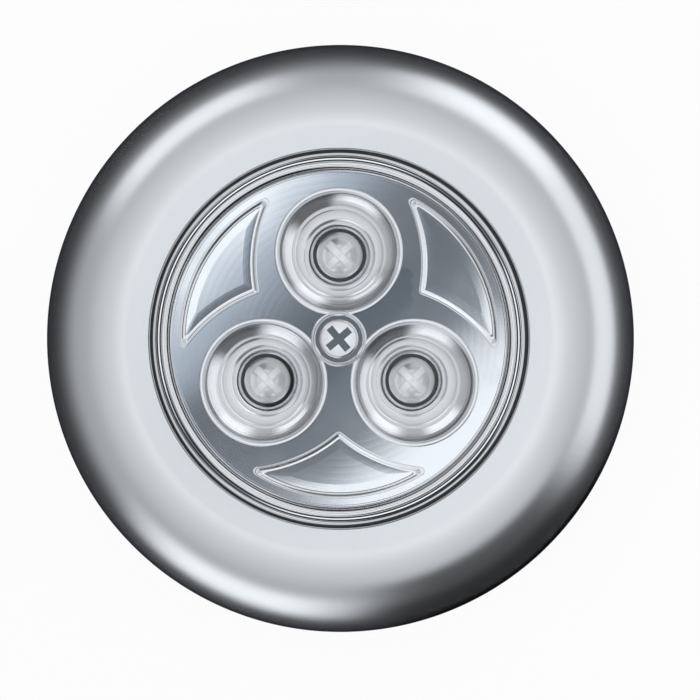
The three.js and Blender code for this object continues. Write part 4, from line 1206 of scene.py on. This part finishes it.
RETURN_RADIUS = 1.65
RETURN_WIRE = 0.25
RETURN_TURNS = 5
RETURN_CLOSED_TURNS = 1
CONTACT_WIDE = 2.6
CONTACT_NARROW = 1.6
CONTACT_WIRE = 0.22
CONTACT_TURNS = 2.5
CLOSED_PITCH_SHARE = 2.1
COIL_STEPS = 28


def coil_points(wide, narrow, wire, height, live, closed):
    """A coil's points up +Z: closed turns at both ends, and live turns between them."""
    turns = live + 2 * closed
    rise = CLOSED_PITCH_SHARE * wire
    pitch = (height - 2 * closed * rise) / live
    points = []
    for i in range(round(turns * COIL_STEPS) + 1):
        done = i / COIL_STEPS
        foot = min(done, closed)
        head = max(done - closed - live, 0.0)
        level = (foot + head) * rise + (done - foot - head) * pitch
        radius = wide + (narrow - wide) * done / turns
        turn = math.tau * done
        points.append(Vector((radius * math.cos(turn), radius * math.sin(turn), level)))
    return points


def return_springs():
    for count in range(1, 5):
        name = f"return_spring_{count}"
        low, high = node_box(name)
        place = Vector(((low.x + high.x) / 2, (low.y + high.y) / 2, low.z + RETURN_WIRE))
        height = high.z - low.z - 2 * RETURN_WIRE
        coil = coil_points(
            RETURN_RADIUS, RETURN_RADIUS, RETURN_WIRE, height, RETURN_TURNS, RETURN_CLOSED_TURNS
        )
        points = [place + point for point in coil]
        spring = tube_piece(f"head_spring_{count}", points, RETURN_WIRE, "steel", name, bent=False)
        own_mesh(spring)


def contact_springs():
    for count, side in CELL_SIDES:
        name = f"contact_spring_{count}"
        low, high = node_box(name)
        plate = low.y if side > 0 else high.y
        foot = Vector((node_middle(f"battery_{count}").x, plate + side * CONTACT_WIRE, CELL_AXIS))
        height = high.y - low.y - 2 * CONTACT_WIRE
        coil = coil_points(CONTACT_WIDE, CONTACT_NARROW, CONTACT_WIRE, height, CONTACT_TURNS, 0)
        points = [foot + laid_down(side) @ point for point in coil]
        tube_piece(f"cell_spring_{count}", points, CONTACT_WIRE, "steel", name, bent=False)


# Wires: three in the tray, and two slack leads

WIRE_RADIUS = 0.45
TRAY_TOP = 14.3
LEAD_TOP = 17.1
LEAD_X = 15.5
LEAD_BOW = 0.45
SWITCH_LEAD_Y = -5.0
RED_ROUTE = (
    (12.8, 23.3, 3.8),
    (14.6, 23.15, 3.8),
    (15.4, 21.8, 3.8),
    (15.5, 15.0, 3.8),
    (15.7, 8.0, 3.8),
    (17.4, 4.6, 3.8),
    (20.0, 2.4, 3.8),
    (22.2, 2.0, 3.8),
)
BLACK_ROUTE = (
    (-12.8, -23.3, 3.8),
    (-14.6, -23.15, 3.8),
    (-15.4, -21.8, 3.8),
    (-15.5, -14.0, 3.8),
    (-15.7, -6.0, 3.8),
    (-17.6, -2.0, 3.8),
    (-19.3, 0.0, 4.6),
    (-19.6, 0.0, 6.6),
    (-19.6, 0.0, 10.4),
    (-18.8, 0.0, 12.0),
    (-17.0, 0.0, 12.4),
    (-15.7, 0.0, 12.8),
    (-LEAD_X, 0.0, 14.2),
)
SWITCH_ROUTE = (
    (22.2, -2.0, 3.8),
    (20.4, -3.6, 3.8),
    (18.8, -4.8, 4.3),
    (18.3, -5.0, 6.2),
    (18.3, -5.0, 10.6),
    (17.9, -5.0, 12.0),
    (16.8, -5.0, 12.4),
    (15.7, -5.0, 12.8),
    (LEAD_X, -5.0, 14.2),
)


def wires():
    red, black = "red_insulation", "black_insulation"
    tube_piece("red_lead_wire", RED_ROUTE, WIRE_RADIUS, red, "red_wire")
    tube_piece("black_lead_wire", BLACK_ROUTE, WIRE_RADIUS, black, "black_wire")
    tube_piece("switch_lead_wire", SWITCH_ROUTE, WIRE_RADIUS, red, "switch_wire")
    middle = (TRAY_TOP + LEAD_TOP) / 2
    for name, x, y, bow, finish in (
        ("switch_lead", LEAD_X, SWITCH_LEAD_Y, -LEAD_BOW, red),
        ("battery_lead", -LEAD_X, 0.0, LEAD_BOW, black),
    ):
        points = ((x, y, TRAY_TOP), (x + bow, y, middle), (x, y, LEAD_TOP))
        piece = tube_piece(f"{name}_slack", points, WIRE_RADIUS, finish, name)
        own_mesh(piece)


housing()
lens_ring()
head_gap_shade()
cover()
reflector()
screw_boss()
diodes()
centre_screw()
base_plate()
foam_pad()
dry_cells()
return_springs()
contact_springs()
wires()


# Camera: straight at the lens with one diode at the top of the picture

FRAME_PIXELS = 700
PIXELS_PER_MM = 8.764
CENTRE_PIXEL = (340.12, 338.56)
CAMERA_DISTANCE = 0.8
LEAN_X = math.radians(1.5)
LEAN_Y = math.radians(0.55)
SENSOR = 36.0
SILHOUETTE_HEIGHT = 21.9 * MM


def add_camera():
    data = bpy.data.cameras.new("camera")
    data.sensor_width = SENSOR
    width = FRAME_PIXELS / PIXELS_PER_MM * MM
    data.lens = SENSOR * CAMERA_DISTANCE / width
    data.clip_start = 0.01
    data.clip_end = 10.0
    camera = placed("camera", data)
    middle = FRAME_PIXELS / 2
    aim = Vector((
        (middle - CENTRE_PIXEL[0]) / PIXELS_PER_MM * MM,
        (CENTRE_PIXEL[1] - middle) / PIXELS_PER_MM * MM,
        SILHOUETTE_HEIGHT,
    ))
    back = Vector((math.tan(LEAN_X), math.tan(LEAN_Y), 1.0)).normalized()
    right = Vector((0.0, 1.0, 0.0)).cross(back).normalized()
    up = back.cross(right)
    turn = Matrix((right, up, back)).transposed().to_4x4()
    camera.matrix_world = Matrix.Translation(aim + back * CAMERA_DISTANCE) @ turn
    bpy.context.scene.camera = camera


# Studio: a pale floor, a sky with soft screens, a lamp above, a dark ring on the floor and a card


def stage_piece(name, bm, material, hidden=()):
    """A piece of the studio, drawn in metres and hidden from some kinds of rays."""
    piece = mesh_piece(name, bm, material)
    for kind in hidden:
        setattr(piece, f"visible_{kind}", False)


def stage_material(name):
    """A material with only its output node, and the output's surface socket."""
    material = bpy.data.materials.new(name)
    material.use_nodes = True
    tree = material.node_tree
    tree.nodes.clear()
    return material, tree, tree.nodes.new("ShaderNodeOutputMaterial").inputs["Surface"]


FLOOR_SIZE = 6.0
FLOOR_GLOW = 0.93


def add_floor():
    material, tree, surface = stage_material("floor_paper")
    paper = tree.nodes.new("ShaderNodeBsdfDiffuse")
    paper.inputs["Color"].default_value = (0.9, 0.9, 0.905, 1.0)
    glow = tree.nodes.new("ShaderNodeEmission")
    glow.inputs["Color"].default_value = (1.0, 1.0, 1.0, 1.0)
    paths = tree.nodes.new("ShaderNodeLightPath").outputs
    seen = math_node(tree, "MAXIMUM", paths["Is Camera Ray"], paths["Is Glossy Ray"])
    seen = math_node(tree, "MAXIMUM", seen, paths["Is Transmission Ray"])
    mix = tree.nodes.new("ShaderNodeMixShader")
    tree.links.new(math_node(tree, "MULTIPLY", seen, FLOOR_GLOW), mix.inputs["Fac"])
    tree.links.new(paper.outputs[0], mix.inputs[1])
    tree.links.new(glow.outputs[0], mix.inputs[2])
    tree.links.new(mix.outputs[0], surface)
    bm = bmesh.new()
    bmesh.ops.create_grid(bm, x_segments=1, y_segments=1, size=FLOOR_SIZE / 2)
    stage_piece("floor", bm, material)


# The sky's light by height above the horizon in degrees, and four bright screens and two dark ones, each
# given as bearing, half width, softness, middle height, half height, softness and light
SKY = (
    (0, 0.04),
    (7, 0.07),
    (12, 0.12),
    (17, 0.2),
    (23, 0.34),
    (29, 0.44),
    (42, 0.48),
    (51, 0.6),
    (60, 0.7),
    (72, 0.8),
    (84, 1.04),
    (90, 1.14),
)
SCREENS = (
    (26.0, 42.0, 20.0, 31.5, 9.5, 5.0, 1.0),
    (55.0, 9.0, 14.0, 27.5, 5.0, 11.0, 1.28),
    (128.0, 12.0, 18.0, 34.0, 7.0, 5.0, 1.15),
    (246.0, 9.0, 25.0, 22.0, 5.0, 14.0, 1.22),
    (301.0, 17.0, 15.0, 24.0, 20.0, 8.0, 0.085),
    (301.0, 17.0, 15.0, 8.0, 6.0, 16.0, 0.03),
)
SKY_TINT = (0.975, 0.99, 1.01, 1.0)


def add_world():
    world = bpy.data.worlds.new("studio")
    world.use_nodes = True
    bpy.context.scene.world = world
    tree = world.node_tree
    direction = split_node(tree, tree.nodes.new("ShaderNodeTexCoord").outputs["Generated"])
    rise = math_node(tree, "ARCSINE", direction["Z"])
    stops = [(height / 90, (level, level, level)) for height, level in SKY]
    total = ramp_node(tree, math_node(tree, "MULTIPLY", rise, 2 / math.pi), stops)
    for bearing, width, width_ease, height, reach, height_ease, level in SCREENS:
        aside = aside_node(tree, direction, bearing)
        above = math_node(tree, "ABSOLUTE", math_node(tree, "SUBTRACT", rise, math.radians(height)))
        across = eased_node(tree, aside, math.radians(width + width_ease), math.radians(width))
        along = eased_node(tree, above, math.radians(reach + height_ease), math.radians(reach))
        mask = math_node(tree, "MULTIPLY", across, along)
        total = colour_node(tree, mask, total, (level, level, level, 1.0))
    background = tree.nodes["Background"]
    tinted = colour_node(tree, 1.0, total, SKY_TINT, "MULTIPLY")
    tree.links.new(tinted, background.inputs["Color"])
    background.inputs["Strength"].default_value = 1.0


FILL_SIZE = 1.2
FILL_POWER = 6.0
FILL_HEIGHT = 1.6


def add_fill():
    """A wide soft lamp straight above, which only lights dull surfaces."""
    data = bpy.data.lights.new("fill", "AREA")
    data.shape = "DISK"
    data.size = FILL_SIZE
    data.energy = FILL_POWER
    lamp = placed("fill", data)
    lamp.location = (0.0, 0.0, FILL_HEIGHT)
    lamp.visible_glossy = False
    lamp.visible_transmission = False


# The black ring in metres, which is blackest towards one bearing
FLAG_INSIDE = 0.036
FLAG_OUTSIDE = 2.7
FLAG_LEVEL = 0.0006
FLAG_STEPS = 64
FLAG_DARK_BEARING = 308.0
FLAG_DARK_HALF = 16.0
FLAG_DARK_EASE = 26.0
FELT = (0.045, 0.045, 0.05, 1.0)
FELT_DARKEST = (0.006, 0.006, 0.007, 1.0)


def add_flag():
    """A black ring on the floor round the lamp, as used to darken the edge of bright metal."""
    material = bpy.data.materials.new("flag_felt")
    material.use_nodes = True
    tree = material.node_tree
    place = split_node(tree, tree.nodes.new("ShaderNodeTexCoord").outputs["Object"])
    aside = aside_node(tree, place, FLAG_DARK_BEARING)
    start, end = math.radians(FLAG_DARK_HALF + FLAG_DARK_EASE), math.radians(FLAG_DARK_HALF)
    dark = eased_node(tree, aside, start, end)
    felt = colour_node(tree, dark, FELT, FELT_DARKEST)
    shader = tree.nodes["Principled BSDF"]
    tree.links.new(felt, shader.inputs["Base Color"])
    shader.inputs["Roughness"].default_value = 0.9
    shader.inputs["Specular IOR Level"].default_value = 0.0
    bm = bmesh.new()
    turned(bm, [(FLAG_INSIDE, FLAG_LEVEL), (FLAG_OUTSIDE, FLAG_LEVEL)], FLAG_STEPS, closed=False)
    stage_piece("flag", bm, material, hidden=("camera", "diffuse", "transmission", "shadow"))


# The card lies where the face mirrors it to the camera
CARD_HEIGHT = 0.62
CARD_SIZE = 0.07
CARD_PLACE = Vector((-math.tan(LEAN_X) * CARD_HEIGHT, -math.tan(LEAN_Y) * CARD_HEIGHT, CARD_HEIGHT))
CARD_ACROSS = (-0.7071, 0.7071, 0.0)
CARD_TONES = ((0.0, 1.1), (0.28, 1.05), (0.4, 0.17), (0.6, 0.135), (0.7, 0.45), (0.8, 1.1))
BRIGHT_TINT = (0.96, 1.0, 1.03)
DARK_TINT = (0.86, 1.0, 1.16)


def add_card():
    """A card straight above the lens, dark along one diagonal, which only shows in the mirror face."""
    material, tree, surface = stage_material("card_tones")
    place = tree.nodes.new("ShaderNodeTexCoord").outputs["Object"]
    across = vector_node(tree, "DOT_PRODUCT", place, CARD_ACROSS, output="Value")
    shift = 0.5 - CARD_PLACE.dot(Vector(CARD_ACROSS)) / CARD_SIZE
    share = math_node(tree, "ADD", math_node(tree, "MULTIPLY", across, 1 / CARD_SIZE), shift)
    stops = []
    for where, level in CARD_TONES:
        tint = BRIGHT_TINT if level > 1.0 else DARK_TINT
        stops.append((where, [level * channel for channel in tint]))
    glow = tree.nodes.new("ShaderNodeEmission")
    tree.links.new(ramp_node(tree, share, stops, "EASE"), glow.inputs["Color"])
    tree.links.new(glow.outputs[0], surface)
    bm = bmesh.new()
    bmesh.ops.create_grid(bm, x_segments=1, y_segments=1, size=CARD_SIZE / 2)
    bmesh.ops.translate(bm, verts=bm.verts, vec=CARD_PLACE)
    stage_piece("card", bm, material, hidden=("camera", "diffuse", "shadow"))


add_camera()
add_floor()
add_world()
add_fill()
add_flag()
add_card()

bpy.context.scene.view_settings.view_transform = "Standard"
